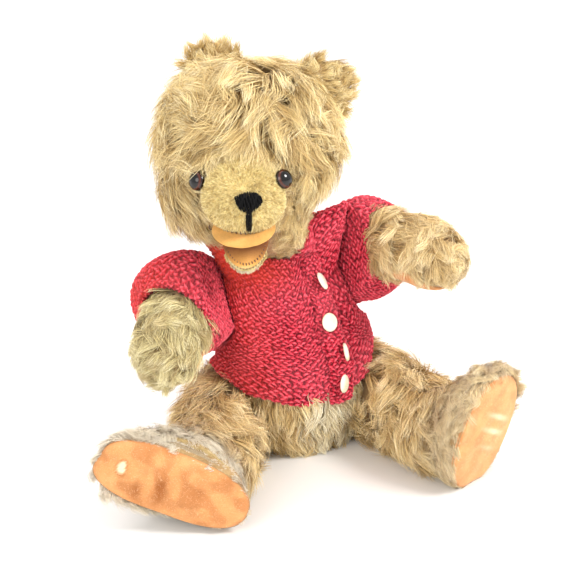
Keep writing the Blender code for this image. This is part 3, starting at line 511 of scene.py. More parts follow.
def knit_material(name, orange=0.0):
    """Wool: x the stitch relief, which also paints shade into the hollows and highlight onto the stitch tops, y the
    stitch's own draw, z a broad fade, a warm.
    """
    m, nt, p = nodes_of(name)
    relief, own, fade, warm = attribute(nt, "knit")
    fibre = noise_tex(nt, 1700.0, 6.0, 0.75)
    level = maths(nt, "ADD", relief, maths(nt, "MULTIPLY", maths(nt, "SUBTRACT", fibre, 0.5), 0.35))
    # colour by stitch height: painted shade in deep red in the hollows between stitches, a painted pink highlight on
    # the tops
    c = ramp(nt, level, [(0.0, srgb(92, 4, 18)), (0.28, srgb(152, 16, 38)), (0.58, srgb(210, 44, 66)),
                         (0.95, srgb(242, 104, 120))])
    tint = ramp(nt, own, [(0.0, (0.84, 0.80, 0.80)), (0.5, (1, 1, 1)), (1.0, (1.12, 1.16, 1.16))])
    c = mix(nt, 1.0, c, tint, "MULTIPLY")
    c = mix(nt, maths(nt, "MULTIPLY", fade, 0.16), c, srgb(240, 116, 132))
    c = mix(nt, warm, c, srgb(228, 74, 48))
    nt.links.new(c, p.inputs["Base Color"])
    nt.links.new(ramp(nt, fibre, [(0.3, (0.98,) * 3), (0.75, (0.82,) * 3)]), p.inputs["Roughness"])
    p.inputs["Sheen Weight"].default_value = 0.55
    p.inputs["Sheen Roughness"].default_value = 0.45
    p.inputs["Sheen Tint"].default_value = (*srgb(246, 150, 160), 1.0)
    p.inputs["Specular IOR Level"].default_value = 0.25
    bump(nt, p, fibre, 0.7, 0.0004)
    return m


MAT["knit"] = knit_material("knitted_wool")


def fuzz_material(name, root, tip):
    m, nt, p = nodes_of(name)
    along, own, lock, tone = attribute(nt, "fur")
    c = ramp(nt, along, [(0.0, root), (1.0, tip)])
    c = mix(nt, 0.7, c, ramp(nt, own, [(0.0, (0.8,) * 3), (1.0, (1.2,) * 3)]), "MULTIPLY")
    nt.links.new(c, p.inputs["Base Color"])
    p.inputs["Roughness"].default_value = 0.8
    p.inputs["Sheen Weight"].default_value = 0.4
    return m


MAT["wool_fuzz"] = fuzz_material("wool_fuzz", srgb(176, 26, 48), srgb(228, 92, 112))
MAT["pad_fuzz"] = fuzz_material("felt_fuzz", srgb(236, 160, 92), srgb(250, 214, 168))


def button_material():
    m, nt, p = nodes_of("button_ivory")
    tc = node(nt, "ShaderNodeTexCoord").outputs["Object"]
    swirl = noise_tex(nt, 160.0, 3.0, 0.5, tc)
    c = ramp(nt, swirl, [(0.3, srgb(226, 220, 188)), (0.55, srgb(243, 240, 218)), (0.75, srgb(250, 248, 234))])
    nt.links.new(c, p.inputs["Base Color"])
    scratch = noise_tex(nt, 2500.0, 4.0, 0.7, tc)
    nt.links.new(ramp(nt, scratch, [(0.35, (0.20,) * 3), (0.7, (0.36,) * 3)]), p.inputs["Roughness"])
    p.inputs["Subsurface Weight"].default_value = 0.15
    p.inputs["Subsurface Radius"].default_value = (0.002, 0.0016, 0.001)
    p.inputs["Coat Weight"].default_value = 0.4
    p.inputs["Coat Roughness"].default_value = 0.12
    bump(nt, p, scratch, 0.08, 0.0001)
    return m


MAT["button"] = button_material()


def thread_material(name, dark, light, shine=0.55):
    """Embroidery thread: fine twist across the strand."""
    m, nt, p = nodes_of(name)
    tc = node(nt, "ShaderNodeTexCoord").outputs["Object"]
    w = node(nt, "ShaderNodeTexWave", Scale=900.0, Distortion=4.0, Detail=2.0)
    nt.links.new(tc, w.inputs["Vector"])
    c = ramp(nt, w.outputs["Fac"], [(0.2, dark), (0.9, light)])
    nt.links.new(c, p.inputs["Base Color"])
    nt.links.new(ramp(nt, w.outputs["Fac"], [(0.0, (shine + 0.2,) * 3), (1.0, (shine,) * 3)]),
                 p.inputs["Roughness"])
    p.inputs["Sheen Weight"].default_value = 0.3
    bump(nt, p, w.outputs["Fac"], 0.5, 0.0002)
    return m


MAT["thread_black"] = thread_material("thread_black", srgb(3, 3, 4), srgb(14, 13, 15), 0.75)
MAT["thread_black"].node_tree.nodes["Principled BSDF"].inputs["Sheen Weight"].default_value = 0.0
MAT["thread_black"].node_tree.nodes["Principled BSDF"].inputs["Specular IOR Level"].default_value = 0.2
MAT["thread_brown"] = thread_material("thread_brown", srgb(58, 30, 18), srgb(104, 60, 34))
MAT["thread_red"] = thread_material("thread_crimson", srgb(140, 16, 36), srgb(206, 50, 72))


def eye_material():
    """Glass eye: black pupil, brown iris with darker threads, clear coat."""
    m, nt, p = nodes_of("glass_eye")
    rad, own, _z, _a = attribute(nt, "eye")
    tc = node(nt, "ShaderNodeTexCoord").outputs["Object"]
    streak = noise_tex(nt, 1400.0, 3.0, 0.7, tc)
    wob = maths(nt, "ADD", rad, maths(nt, "MULTIPLY", maths(nt, "SUBTRACT", streak, 0.5), 0.10))
    c = ramp(nt, wob, [(0.0, srgb(2, 2, 3)), (0.70, srgb(4, 3, 3)), (0.76, srgb(40, 16, 10)),
                       (0.85, srgb(88, 38, 20)), (0.93, srgb(46, 18, 12)), (0.98, srgb(12, 6, 6))])
    nt.links.new(c, p.inputs["Base Color"])
    nt.links.new(ramp(nt, streak, [(0.2, (0.06,) * 3), (0.8, (0.12,) * 3)]), p.inputs["Roughness"])
    p.inputs["Coat Weight"].default_value = 0.5
    p.inputs["Coat Roughness"].default_value = 0.02
    p.inputs["Specular IOR Level"].default_value = 0.3
    return m


MAT["eye"] = eye_material()


def plain_material(name, dark, light, scale, rough, metallic=0.0, grain=0.3):
    m, nt, p = nodes_of(name)
    f = noise_tex(nt, scale, 5.0, 0.65)
    nt.links.new(ramp(nt, f, [(0.3, dark), (0.7, light)]), p.inputs["Base Color"])
    nt.links.new(ramp(nt, f, [(0.3, (rough,) * 3), (0.7, (min(1, rough * 1.3),) * 3)]), p.inputs["Roughness"])
    p.inputs["Metallic"].default_value = metallic
    bump(nt, p, f, grain, 0.0002)
    return m


MAT["card"] = plain_material("grey_card", srgb(140, 122, 96), srgb(184, 166, 136), 900.0, 0.85)
MAT["steel"] = plain_material("zinced_steel", srgb(140, 140, 138), srgb(190, 190, 186), 500.0, 0.3, 1.0, 0.1)
MAT["woodwool"] = plain_material("wood_wool", srgb(150, 122, 76), srgb(214, 190, 136), 260.0, 0.9, 0.0, 0.9)


# ------------------------------------------------ pile made of strands
def nearest(points, targets):
    kd = KDTree(len(targets))
    for i, p in enumerate(targets):
        kd.insert(Vector(p), i)
    kd.balance()
    return np.array([kd.find(Vector(p))[1] for p in points])


def scatter(P, faces, normals, count, rng, keep=None, extra=None):
    """Points spread by area over triangles; keep(points) masks; extra rides along."""
    tri = np.concatenate([faces[:, [0, 1, 2]], faces[:, [0, 2, 3]]]) if faces.shape[1] == 4 else faces
    a, b, c = P[tri[:, 0]], P[tri[:, 1]], P[tri[:, 2]]
    area = np.linalg.norm(np.cross(b - a, c - a), axis=1) / 2
    if keep is not None:
        area = area * keep[tri].mean(1)
    cum = np.cumsum(area)
    at = (np.arange(count) + rng.random(count)) / count * cum[-1]
    t = np.clip(np.searchsorted(cum, at), 0, len(tri) - 1)
    u, v = rng.random(count), rng.random(count)
    over = u + v > 1
    u[over], v[over] = 1 - u[over], 1 - v[over]
    w = np.stack([1 - u - v, u, v], 1)[:, :, None]
    pos = (P[tri[t]] * w).sum(1)
    nrm = units((normals[tri[t]] * w).sum(1))
    ex = None if extra is None else (extra[tri[t]] * w).sum(1)
    order = rng.permutation(count)
    return pos[order], nrm[order], (None if ex is None else ex[order])


def comb_paths(pos, nrm, comb, length, lift0, lift1, sag, segs):
    """Centre lines of strands: they leave along the lift and lie down the comb."""
    n = len(pos)
    out = np.zeros((n, segs + 1, 3))
    p = pos - nrm * 0.6
    out[:, 0] = p
    for k in range(segs):
        t = (k + 0.5) / segs
        ang = lift0 + (lift1 - lift0) * t
        d = comb * np.cos(ang)[:, None] + nrm * np.sin(ang)[:, None]
        d = d + np.array([0, 0, -1.0]) * (sag * t)[:, None]
        d = units(d)
        p = p + d * (length / segs)[:, None]
        out[:, k + 1] = p
    return out


def pile(name, pos, nrm, comb, mat, seed, length=22.0, width=0.5, lift=(62.0, 2.0), sag=0.25,
         lock=5.5, gather=0.72, wave=1.3, segs=5, spread=0.35, tone=None, body=None,
         length_scale=None, floor=0.25, cross=0.30, max_per=15500, root_dark=0.0):
    """Ribbon strands gathered in locks; each piece stays light."""
    rng = np.random.default_rng(seed)
    n = len(pos)
    comb = units(comb - (comb * nrm).sum(1, keepdims=True) * nrm)
    size = length * (0.72 + 0.5 * rng.random(n))
    if length_scale is not None:
        size = size * length_scale
    # locks: guides picked from the strands themselves
    g_count = max(8, int(n * 0.05)) if lock is None else None
    grid = {}
    guides = []
    cell = lock
    for i in range(n):
        key = tuple(np.floor(pos[i] / cell).astype(int))
        if key not in grid:
            grid[key] = i
            guides.append(i)
    guides = np.array(guides)
    own = nearest(pos, pos[guides])
    g = guides[own]
    b = np.cross(nrm, comb)
    turn_g = rng.normal(0, cross, len(guides))[own]
    turn = turn_g + rng.normal(0, spread * 0.45, n)
    comb_s = comb * np.cos(turn)[:, None] + b * np.sin(turn)[:, None]
    comb_g = (comb * np.cos(turn_g)[:, None] + b * np.sin(turn_g)[:, None])[g]
    l0 = np.radians(lift[0]) + rng.normal(0, 0.16, n)
    l1 = np.radians(lift[1]) + rng.normal(0, 0.22, n)
    sg = np.full(n, sag) * (0.6 + 0.8 * rng.random(n))
    path = comb_paths(pos, nrm, comb_s, size, l0, l1, sg, segs)
    lg0 = np.full(n, np.radians(lift[0]))
    lift_g = rng.normal(0, 0.25, len(guides))[own]
    gp = comb_paths(pos[g], nrm[g], comb_g, size, lg0, np.radians(lift[1]) + lift_g, sg, segs)
    t = np.linspace(0, 1, segs + 1)[None, :, None]
    gather_g = (gather * (0.55 + 0.6 * rng.random(len(guides))))[own][:, None, None]
    if length_scale is not None:
        gather_g = gather_g * np.clip(np.asarray(length_scale) * 1.5, 0.3, 1.0)[:, None, None]
    w = np.clip(gather_g, 0, 0.95) * t ** 1.15
    path = path * (1 - w) + gp * w
    phase = (rng.random(len(guides)) * 2 * pi)[own] + rng.normal(0, 0.5, n)
    freq = (0.55 + 0.7 * rng.random(len(guides)))[own]
    amp = (wave * (0.3 + 1.1 * rng.random(len(guides))))[own]
    ts = np.linspace(0, 1, segs + 1)
    sway = amp[:, None] * np.sin(phase[:, None] + 2 * pi * freq[:, None] * ts[None, :]) - \
        amp[:, None] * np.sin(phase)[:, None]
    path = path + b[:, None, :] * (sway * ts[None, :] ** 0.6)[:, :, None]
    path[:, :, 2] = np.maximum(path[:, :, 2], floor)
    d = np.gradient(path, axis=1)
    d = units(d)
    side = units(np.cross(d, nrm[:, None, :] + 1e-4))
    up = np.cross(side, d)
    roll = rng.normal(0, 0.65, n)[:, None, None]
    side = side * np.cos(roll) + up * np.sin(roll)
    wd = width * (0.65 + 0.7 * rng.random(n))
    if length_scale is not None:
        wd = wd * np.clip(np.asarray(length_scale), 0.4, 1.0) ** 0.7
    taper = (1 - 0.75 * ts[:-1] ** 2)[None, :]
    half = side[:, :-1] * (wd[:, None] * taper / 2)[:, :, None]
    left, right = path[:, :-1] - half, path[:, :-1] + half
    V = np.concatenate([np.stack([left, right], 2).reshape(n, segs * 2, 3), path[:, -1:]], 1)
    per = segs * 2 + 1
    k = np.arange(segs - 1) * 2
    quad = np.stack([k, k + 1, k + 3, k + 2], 1)
    tri = np.array([[segs * 2 - 2, segs * 2 - 1, segs * 2]])
    lock_draw = rng.random(len(guides))[own]
    own_draw = rng.random(n)
    if tone is None:
        tone = np.zeros(n)
    T = np.concatenate([np.repeat(ts[:-1], 2), [1.0]])
    A = np.zeros((n, per, 4), np.float32)
    # short strands start part way up the colour ramp, so they carry less of the painted root shade
    pale_root = np.zeros(n) if length_scale is None else np.clip(1 - np.asarray(length_scale), 0, 1) * 0.55
    A[:, :, 0] = T[None, :] * (1 - pale_root[:, None]) + pale_root[:, None]
    A[:, :, 1] = own_draw[:, None]
    A[:, :, 2] = lock_draw[:, None]
    A[:, :, 3] = tone[:, None]
    made = []
    chunks = max(1, int(np.ceil(n / max_per)))
    # neighbouring strands share a piece
    order = np.argsort(pos[:, 2], kind="stable")
    for c in range(chunks):
        pick = order[c * n // chunks:(c + 1) * n // chunks]
        m = len(pick)
        base = (np.arange(m) * per)[:, None, None]
        fq = (quad[None] + base).reshape(-1, 4)
        ft = (tri[None] + base).reshape(-1, 3)
        nm = name if chunks == 1 else "%s_%d" % (name, c + 1)
        ob = put_mesh(nm, V[pick].reshape(-1, 3), [fq, ft], mat, attrs={"fur": A[pick].reshape(-1, 4)})
        # one small UV cell a strand, so that colours bake cleanly
        cols = int(np.ceil(np.sqrt(m)))
        cx, cy = np.arange(m) % cols, np.arange(m) // cols
        uvv = np.zeros((m, per, 2), np.float32)
        uvv[:, :, 1] = (cy[:, None] + 0.12 + 0.76 * T[None, :]) / cols
        sx = np.concatenate([np.tile([0.12, 0.88], segs), [0.5]])
        uvv[:, :, 0] = (cx[:, None] + sx[None, :]) / cols
        li = np.zeros(len(ob.data.loops), np.int32)
        ob.data.loops.foreach_get("vertex_index", li)
        uv = ob.data.uv_layers.new(name="OFBake")
        uv.data.foreach_set("uv", uvv.reshape(-1, 2)[li].ravel())
        if body:
            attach(ob, body)
        made.append(ob)
    return made


def field_turn(comb, nrm, angle):
    b = np.cross(nrm, comb)
    return comb * np.cos(angle)[:, None] + b * np.sin(angle)[:, None]


# ------------------------------------------------ head
def smooth_profile(profile, count):
    t = np.array([(r, z, 0.0, 0.0) for r, z in profile])
    tab = np.column_stack([t[:, 1], t[:, 0], t[:, 0] * 0, t[:, 0] * 0])
    out = spline_rows(tab, count)
    return [(max(float(q[1]), 0.0), float(q[0])) for q in out]


HR, HS = 90, 96
hp = smooth_profile(HEAD_PROFILE, HR)
hp[0], hp[-1] = (0.02, 0.6), (0.02, 117.0)
hang = 2 * pi * np.arange(HS) / HS
HP = np.array([[head_shape(r, z, (a + pi) % (2 * pi) - pi) for a in hang] for r, z in hp])
HN = grid_normals(HP)
mid_head = np.array(head_shape(0.0, 50.0, 0.0))
if ((HP - mid_head) * HN).sum(-1).mean() < 0:
    HN = -HN
head_faces = grid_faces(HR, HS, wrap=True)


def face_coords(p):
    """Sideways, height above the neck and forward reach of points on the head."""
    q = p - np.array([NECK[0] + HEAD_SHIFT[0], NECK[1] + HEAD_SHIFT[1], NECK[2]])
    return q @ CHEEK, q[..., 2], q @ FACE


_hs, _hh, _hf = face_coords(HP)
_draw = 1.5 + 0.0 * _hh
HP = HP - HN * _draw[..., None]
head_base = put_mesh("head_cloth", HP.reshape(-1, 3), head_faces, MAT["backing"])
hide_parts("head_skin")
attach(head_base, "head")


def muzzle_edge(side, h):
    """Below one inside the short-pile muzzle."""
    w = np.where(side < 0, 24.0, 20.5)
    top = np.where(h > 50, 24.0, 22.0)
    return np.sqrt((side / w) ** 2 + ((h - 50.0) / top) ** 2)


EYE_AT = {"r": -24.8, "l": 19.5}
rng = np.random.default_rng(11)
flatP, flatN = HP.reshape(-1, 3), HN.reshape(-1, 3)
hs, hh, hf = face_coords(flatP)
me_edge = muzzle_edge(hs, hh)
keep = np.ones(len(flatP))
keep[(me_edge < 0.97) & (hf > 15)] = 0
keep[hh < 5] = 0
jawish = (np.abs(hs + 1) < 17) & (hh < 38) & (hf > 22)
keep[jawish] = 0
for _s, _x in EYE_AT.items():
    ep = head_point(_x, 60.5)
    keep[np.linalg.norm(flatP - ep, axis=1) < 7.0] = 0
count = int(58000 * DENSE)
pos, nrm, _ = scatter(flatP, head_faces, flatN, count, rng, keep)
crown = mid_head + UP * 58.0 - FACE * 12.0 + CHEEK * 8.0
flow = pos - crown
s_, h_, f_ = face_coords(pos)
down = np.array([0, 0, -1.0])
comb = units(flow) + 0.55 * down
front = np.clip(f_ / 40.0, 0, 1)
# the fringe swings across the brow; the cheeks sweep outwards
brow = np.clip((h_ - 62) / 25.0, 0, 1) * front
comb = comb + np.outer(brow * np.where(s_ > -6, -0.35, 0.45), CHEEK)
cheek = np.clip((62 - h_) / 30.0, 0, 1) * np.clip(f_ / 25.0, 0, 1)
comb = comb + np.outer(cheek * np.sign(s_) * 0.9, CHEEK)
swirl = snoise(pos, 26.0, 3.0) * 3.2 + snoise(pos, 11.0, 5.0) * 0.9
comb = field_turn(units(comb - (comb * nrm).sum(1, keepdims=True) * nrm), nrm, swirl)
near = np.clip((muzzle_edge(s_, h_) - 0.97) / 0.55, 0, 1) * 0.66 + 0.34
near = np.where(f_ > 10, near, 1.0)
for _s, _x in EYE_AT.items():
    d_eye = np.linalg.norm(pos - head_point(_x, 60.5), axis=1)
    over = np.clip((h_ - 64.0) / 6.0, 0, 1)
    near = np.minimum(near, np.maximum(0.20 + 0.80 * np.clip((d_eye - 7.0) / 13.0, 0, 1), over * 0.62))
    away = units(pos - head_point(_x, 60.5)) * (np.clip(1.6 - (d_eye - 8.0) / 8.0, 0, 1.6) * (1 - 0.75 * over))[:, None]
    comb = comb + away - nrm * (away * nrm).sum(1, keepdims=True)
low = np.clip((h_ - 2) / 42.0, 0.30, 1.0)
low = low * (1 - 0.35 * np.clip(s_ / 20.0, 0, 1) * np.clip((64 - h_) / 20.0, 0, 1))
low = low * (1 - 0.35 * np.clip(-f_ / 20.0, 0, 1))
pile("head_pile", pos, nrm, comb, MAT["mohair"], 101, length=27.0, width=0.32, lift=(50.0, -26.0), cross=0.5,
     sag=0.14, lock=6.5, gather=0.86, wave=3.8, segs=6, body="head", length_scale=near * low,
     max_per=14500)

# ------------------------------------------------ muzzle
nu, nv = 42, 60
MZ = []
for i in range(nu):
    rho = i / (nu - 1) * 1.05
    row = []
    for j in range(nv):
        a = 2 * pi * j / nv
        sx, sz = cos(a), sin(a)
        w = 25.0 if sx < 0 else 21.5
        hgt = 25.0 if sz > 0 else 16.0
        side, z = sx * w * rho, 50.0 + sz * hgt * rho
        n = face_normal(side, z)
        lift = 5.6 * np.clip((1.05 - rho) / 0.16, 0, 1) ** 0.5 - 3.0
        row.append(head_point(side, z) + n * lift)
    MZ.append(row)
MZ = np.array(MZ)
MN = grid_normals(MZ)
if (MN @ FACE).mean() < 0:
    MN = -MN
mz_faces = grid_faces(nu, nv, wrap=True)
MN[0] = face_normal(0.0, 50.0)
muzzle = put_mesh("muzzle_cloth", MZ.reshape(-1, 3), mz_faces, MAT["muzzle"])
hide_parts("muzzle_cover")
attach(muzzle, "head")
rng = np.random.default_rng(12)
pos, nrm, _ = scatter(MZ.reshape(-1, 3), mz_faces, MN.reshape(-1, 3), int(24000 * DENSE), rng)
s_, h_, f_ = face_coords(pos)
flow = (pos - (head_point(0, 58) + FACE * 4)) + down * 6
jit = field_turn(units(flow - (flow * nrm).sum(1, keepdims=True) * nrm), nrm, snoise(pos, 7.0, 9.0) * 1.6)
pile("muzzle_pile", pos, nrm, jit, MAT["short"], 102, length=2.3, width=0.34, lift=(74.0, 40.0), sag=0.05,
     lock=1.6, gather=0.35, wave=0.15, segs=2, body="head", max_per=15500)


# ------------------------------------------------ small forms on the face
def face_form(name, mat, centre, radii, bend, segments=64, rings=36, relief=0.0, attrs=None, seed=1.0):
    lat = np.linspace(-pi / 2, pi / 2, rings)
    lon = 2 * pi * np.arange(segments) / segments
    X = np.cos(lat)[:, None] * np.cos(lon)[None, :]
    Y = np.cos(lat)[:, None] * np.sin(lon)[None, :]
    Z = np.repeat(np.sin(lat)[:, None], segments, 1)
    x, y, z = X * radii[0], Y * radii[1], Z * radii[2]
    z = z + bend * (-y) / 10.0
    P = centre + x[..., None] * CHEEK - y[..., None] * FACE + z[..., None] * UP
    if relief:
        flat = P.reshape(-1, 3)
        P = P + (snoise(flat, 5.0, seed) * relief).reshape(rings, segments)[..., None] * UP
    A = np.zeros((rings, segments, 4), np.float32)
    if attrs is not None:
        A = attrs(X, Y, Z)
    return put_mesh(name, P.reshape(-1, 3), grid_faces(rings, segments, wrap=True), mat,
                    attrs={"pad": A.reshape(-1, 4)}), P


def lip_rim_shade(X, Y, Z):
    A = np.zeros(X.shape + (4,), np.float32)
    rr = np.sqrt(X ** 2 + Y ** 2)
    # painted shade darkening the lip's rim
    A[..., 2] = np.clip((rr - 0.9) / 0.1, 0, 1) * 0.7
    A[..., 1] = np.clip(0.9 - np.hypot(X * 1.3, Y + 0.35), 0, 1) * 0.0
    return A


def tongue_wear_and_shade(X, Y, Z):
    A = np.zeros(X.shape + (4,), np.float32)
    # painted shade, with some soiling, darkest down the throat
    A[..., 1] = np.clip(1.9 - (-Y) * 2.1, 0, 1)           # shadowed, soiled throat
    A[..., 0] = np.clip((-Y - 0.93) / 0.07, 0, 1) * 0.45   # worn tip
    # painted shade darkening the rim
    A[..., 2] = np.clip((np.sqrt(X ** 2 + Y ** 2) - 0.95) / 0.05, 0, 1) * 0.3
    return A


lip_c = head_point(-2.0, 33.0) + FACE * 1.5 + UP * 2.4
LIP_BEND = -3.6
lip, lipP = face_form("upper_lip", MAT["mouth"], lip_c, (18.0, 16.5, 1.3), LIP_BEND, relief=0.25, attrs=lip_rim_shade)
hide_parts("upper_mouth_felt")
JAW_BEND = -8.0
jaw_c = head_point(-6.0, 22.0) + FACE * 2.6 + UP * 2.2
jaw, jawP = face_form("jaw", MAT["muzzle"], jaw_c, (13.0, 17.0, 2.5), JAW_BEND, relief=0.3, seed=2.0)
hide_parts("lower_jaw")
tongue, tongueP = face_form("jaw_lining", MAT["mouth"], jaw_c + UP * 2.6 + FACE * 1.0, (13.6, 17.4, 1.3), JAW_BEND,
                            relief=0.35, attrs=tongue_wear_and_shade, seed=3.0)
# the lining turns up at the back of the mouth to meet the upper felt
pw = []
for q in np.linspace(0, 1, 14):
    row = []
    for th in np.linspace(radians(62), radians(298), 60):
        fy = -11.0 + 22.0 * (1 + cos(th)) / 2
        top = lip_c + CHEEK * (15.5 * sin(th)) + FACE * fy + UP * (LIP_BEND * fy / 10.0)
        bot = jaw_c + CHEEK * (12.0 * sin(th)) + FACE * fy + UP * (JAW_BEND * fy / 10.0 + 2.8)
        m_ = top * (1 - q) + bot * q
        row.append(m_ - (CHEEK * sin(th) + FACE * cos(th)) * (1.2 * sin(pi * q)))
    pw.append(row)
pw = np.array(pw)
Ap = np.zeros(pw.shape[:2] + (4,), np.float32)
# painted shade, deepening into the back of the mouth
Ap[..., 1] = np.clip(0.5 + 0.5 * np.sin(np.linspace(0, pi, 14)), 0, 0.95)[:, None]
pouch = put_mesh("mouth_lining", pw.reshape(-1, 3), grid_faces(14, 60), MAT["mouth"], attrs={"pad": Ap.reshape(-1, 4)})
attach(pouch, "head")
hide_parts("lower_mouth_felt")
for ob, sl in ((lip, "mouth_felt"), (jaw, "short_plush"), (tongue, "mouth_felt")):
    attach(ob, "head")
# short pile on the jaw
JN = grid_normals(jawP)
if ((jawP - jaw_c) * JN).sum(-1).mean() < 0:
    JN = -JN
jf = grid_faces(jawP.shape[0], jawP.shape[1], wrap=True)
rng = np.random.default_rng(13)
flat = jawP.reshape(-1, 3)
keepj = np.ones(len(flat))
keepj[(JN.reshape(-1, 3)[:, 2] > 0.10)] = 0
keepj[((flat - jaw_c) @ FACE) < 7] = 0
pos, nrm, _ = scatter(flat, jf, JN.reshape(-1, 3), int(5200 * DENSE), rng, keepj)
cmb = units(nrm * 0.2 + FACE * 0.6 + down * 0.5)
pile("jaw_pile", pos, nrm, cmb, MAT["short"], 103, length=2.4, width=0.34, lift=(60.0, 20.0), sag=0.2,
     lock=2.4, gather=0.5, wave=0.3, segs=3, body="head",
     tone=np.clip((((pos - jaw_c) @ FACE) - 9) / 8, 0, 1) * 0.8)


def tube(name, paths, radius, mat, body, sides=6, taper=True, bumpy=0.0, seed=5):
    """Threads: round strands swept along paths, ends drawn in."""
    rng = np.random.default_rng(seed)
    V, F, base = [], [], 0
    for path in paths:
        path = np.asarray(path, float)
        m = len(path)
        d = units(np.gradient(path, axis=0))
        ref = np.array([0.3, 0.5, 0.81])
        a = units(np.cross(d, ref))
        b = np.cross(d, a)
        tt = np.linspace(0, 1, m)
        r = radius * (np.clip(np.minimum(tt, 1 - tt) * 6, 0.15, 1) ** 0.5 if taper else np.ones(m))
        r = r * (1 + bumpy * rng.normal(0, 1, m))
        th = 2 * pi * np.arange(sides) / sides
        ring = path[:, None] + r[:, None, None] * (a[:, None] * np.cos(th)[None, :, None] + b[:, None] * np.sin(th)[None, :, None])
        V.append(ring.reshape(-1, 3))
        F.append(grid_faces(m, sides, wrap=True) + base)
        cap0 = base + np.arange(sides)
        cap1 = base + (m - 1) * sides + np.arange(sides)
        V.append(np.array([path[0], path[-1]]))
        c0, c1 = base + m * sides, base + m * sides + 1
        F.append(np.stack([cap0, np.roll(cap0, -1), np.full(sides, c0), np.full(sides, c0)], 1)[:, [1, 0, 2, 3]])
        F.append(np.stack([cap1, np.roll(cap1, -1), np.full(sides, c1), np.full(sides, c1)], 1))
        base += m * sides + 2
    quads = np.concatenate([f for f in F])
    real = quads[quads[:, 2] != quads[:, 3]]
    tris = quads[quads[:, 2] == quads[:, 3]][:, :3]
    ob = put_mesh(name, np.concatenate(V), [real, tris], mat)
    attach(ob, body)
    return ob


# nose: satin stitches of black thread laid down the muzzle over a shield
def on_muzzle(side, z, out):
    return head_point(side, z) + face_normal(side, z) * out


NOSE_X, NOSE_W, NOSE_TOP, NOSE_BOT = 2.0, 5.3, 57.6, 47.6
paths = []
rng = np.random.default_rng(21)
cols = 15
for layer in range(2):
    for k in range(cols - layer):
        x = -NOSE_W + 2 * NOSE_W * (k + 0.5 * layer) / (cols - 1)
        f = abs(x) / (NOSE_W * 1.04)
        top = NOSE_TOP - 2.0 * f ** 3 + rng.normal(0, 0.14) - 0.4 * layer
        bot = NOSE_BOT + 4.4 * f ** 1.3 + rng.normal(0, 0.16) + 0.4 * layer
        zz = np.linspace(top, bot, 13)
        u = np.linspace(-1, 1, 13)
        o = 2.3 + (2.3 + 0.8 * layer) * np.sqrt(np.maximum(1 - u ** 2, 0.0)) * np.sqrt(max(1 - (f * 0.9) ** 2, 0.08))
        paths.append([on_muzzle(NOSE_X + x + (0.25 + 0.4 * layer) * sin(2.4 * v + k), z, q) for z, v, q in zip(zz, u, o)])
for dx, more in ((-0.95, 0), (0.0, 0.15), (0.95, 0), (-0.45, 0.6), (0.5, 0.6)):
    zz = np.linspace(50.5, 38.4 + 0.4 * abs(dx), 14)
    o = 3.1 + 0.4 * np.sin(np.linspace(0, pi, 14)) + more
    paths.append([on_muzzle(NOSE_X - 0.1 + dx - 0.6 * t_, z, q) for z, q, t_ in zip(zz, o, np.linspace(0, 1, 14))])
nose = tube("nose_threads", paths, 0.5, MAT["thread_black"], "head", sides=7, bumpy=0.03)
core, _ = face_form("nose_pad", MAT["thread_black"], head_point(NOSE_X, 52.6) + face_normal(NOSE_X, 52.6) * 2.6,
                    (4.7, 1.9, 3.6), 0.0, 40, 20)
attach(core, "head")
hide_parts("nose_stitching")

# whip stitches along the upper lip
paths = []
for k in range(16):
    x = -20.0 + 32.0 * k / 15
    zc = 34.6 + 2.8 * (1 - ((x + 5.0) / 19.5) ** 2)
    zc = max(zc, 30.5)
    pts = []
    for t_ in np.linspace(0, 1, 7):
        q = on_muzzle(x + 0.9 * t_, zc + 1.6 - 3.4 * t_, 2.9 + 1.0 * sin(pi * t_))
        pts.append(q)
    paths.append(pts)
for k in range(20):
    a = radians(-78 + 150 * k / 19)
    for_y = 17.0 * cos(a)
    c_ = jaw_c + UP * 2.2 + FACE * 0.6
    pts = []
    for t_ in np.linspace(0, 1, 6):
        q = 0.90 + 0.11 * t_
        x_, y_ = 13.2 * sin(a + 0.03 * t_) * q, for_y * q
        pts.append(c_ + CHEEK * x_ + FACE * y_ + UP * (JAW_BEND * y_ / 10.0 + 1.2 - 2.2 * t_ ** 2 + 0.3 * sin(pi * t_)))
    paths.append(pts)
tube("lip_stitches", paths, 0.34, MAT["thread_brown"], "head", sides=5, seed=6)


# eyes: glass domes with a thin dark rim
for _s, _x in EYE_AT.items():
    p, n = head_point(_x, 60.5), face_normal(_x, 60.5)
    ax = unit(np.cross(UP, n))
    ay = np.cross(n, ax)
    rings, seg = 40, 64
    lat = np.linspace(-pi / 2, pi / 2, rings)
    lon = 2 * pi * np.arange(seg) / seg
    rr = np.cos(lat)
    hz = np.where(np.sin(lat) > 0, np.sin(lat) * 4.6, np.sin(lat) * 1.0)
    P = (p + n * 3.0)[None, None] + 5.7 * rr[:, None, None] * (
        np.cos(lon)[None, :, None] * ax + np.sin(lon)[None, :, None] * ay) + hz[:, None, None] * n
    A = np.zeros((rings, seg, 4), np.float32)
    A[..., 0] = rr[:, None]
    ob = put_mesh("glass_eye_" + WORD[_s], P.reshape(-1, 3), grid_faces(rings, seg, wrap=True), MAT["eye"],
                  attrs={"eye": A.reshape(-1, 4)})
    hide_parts("eye_" + WORD[_s])
    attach(ob, "head")

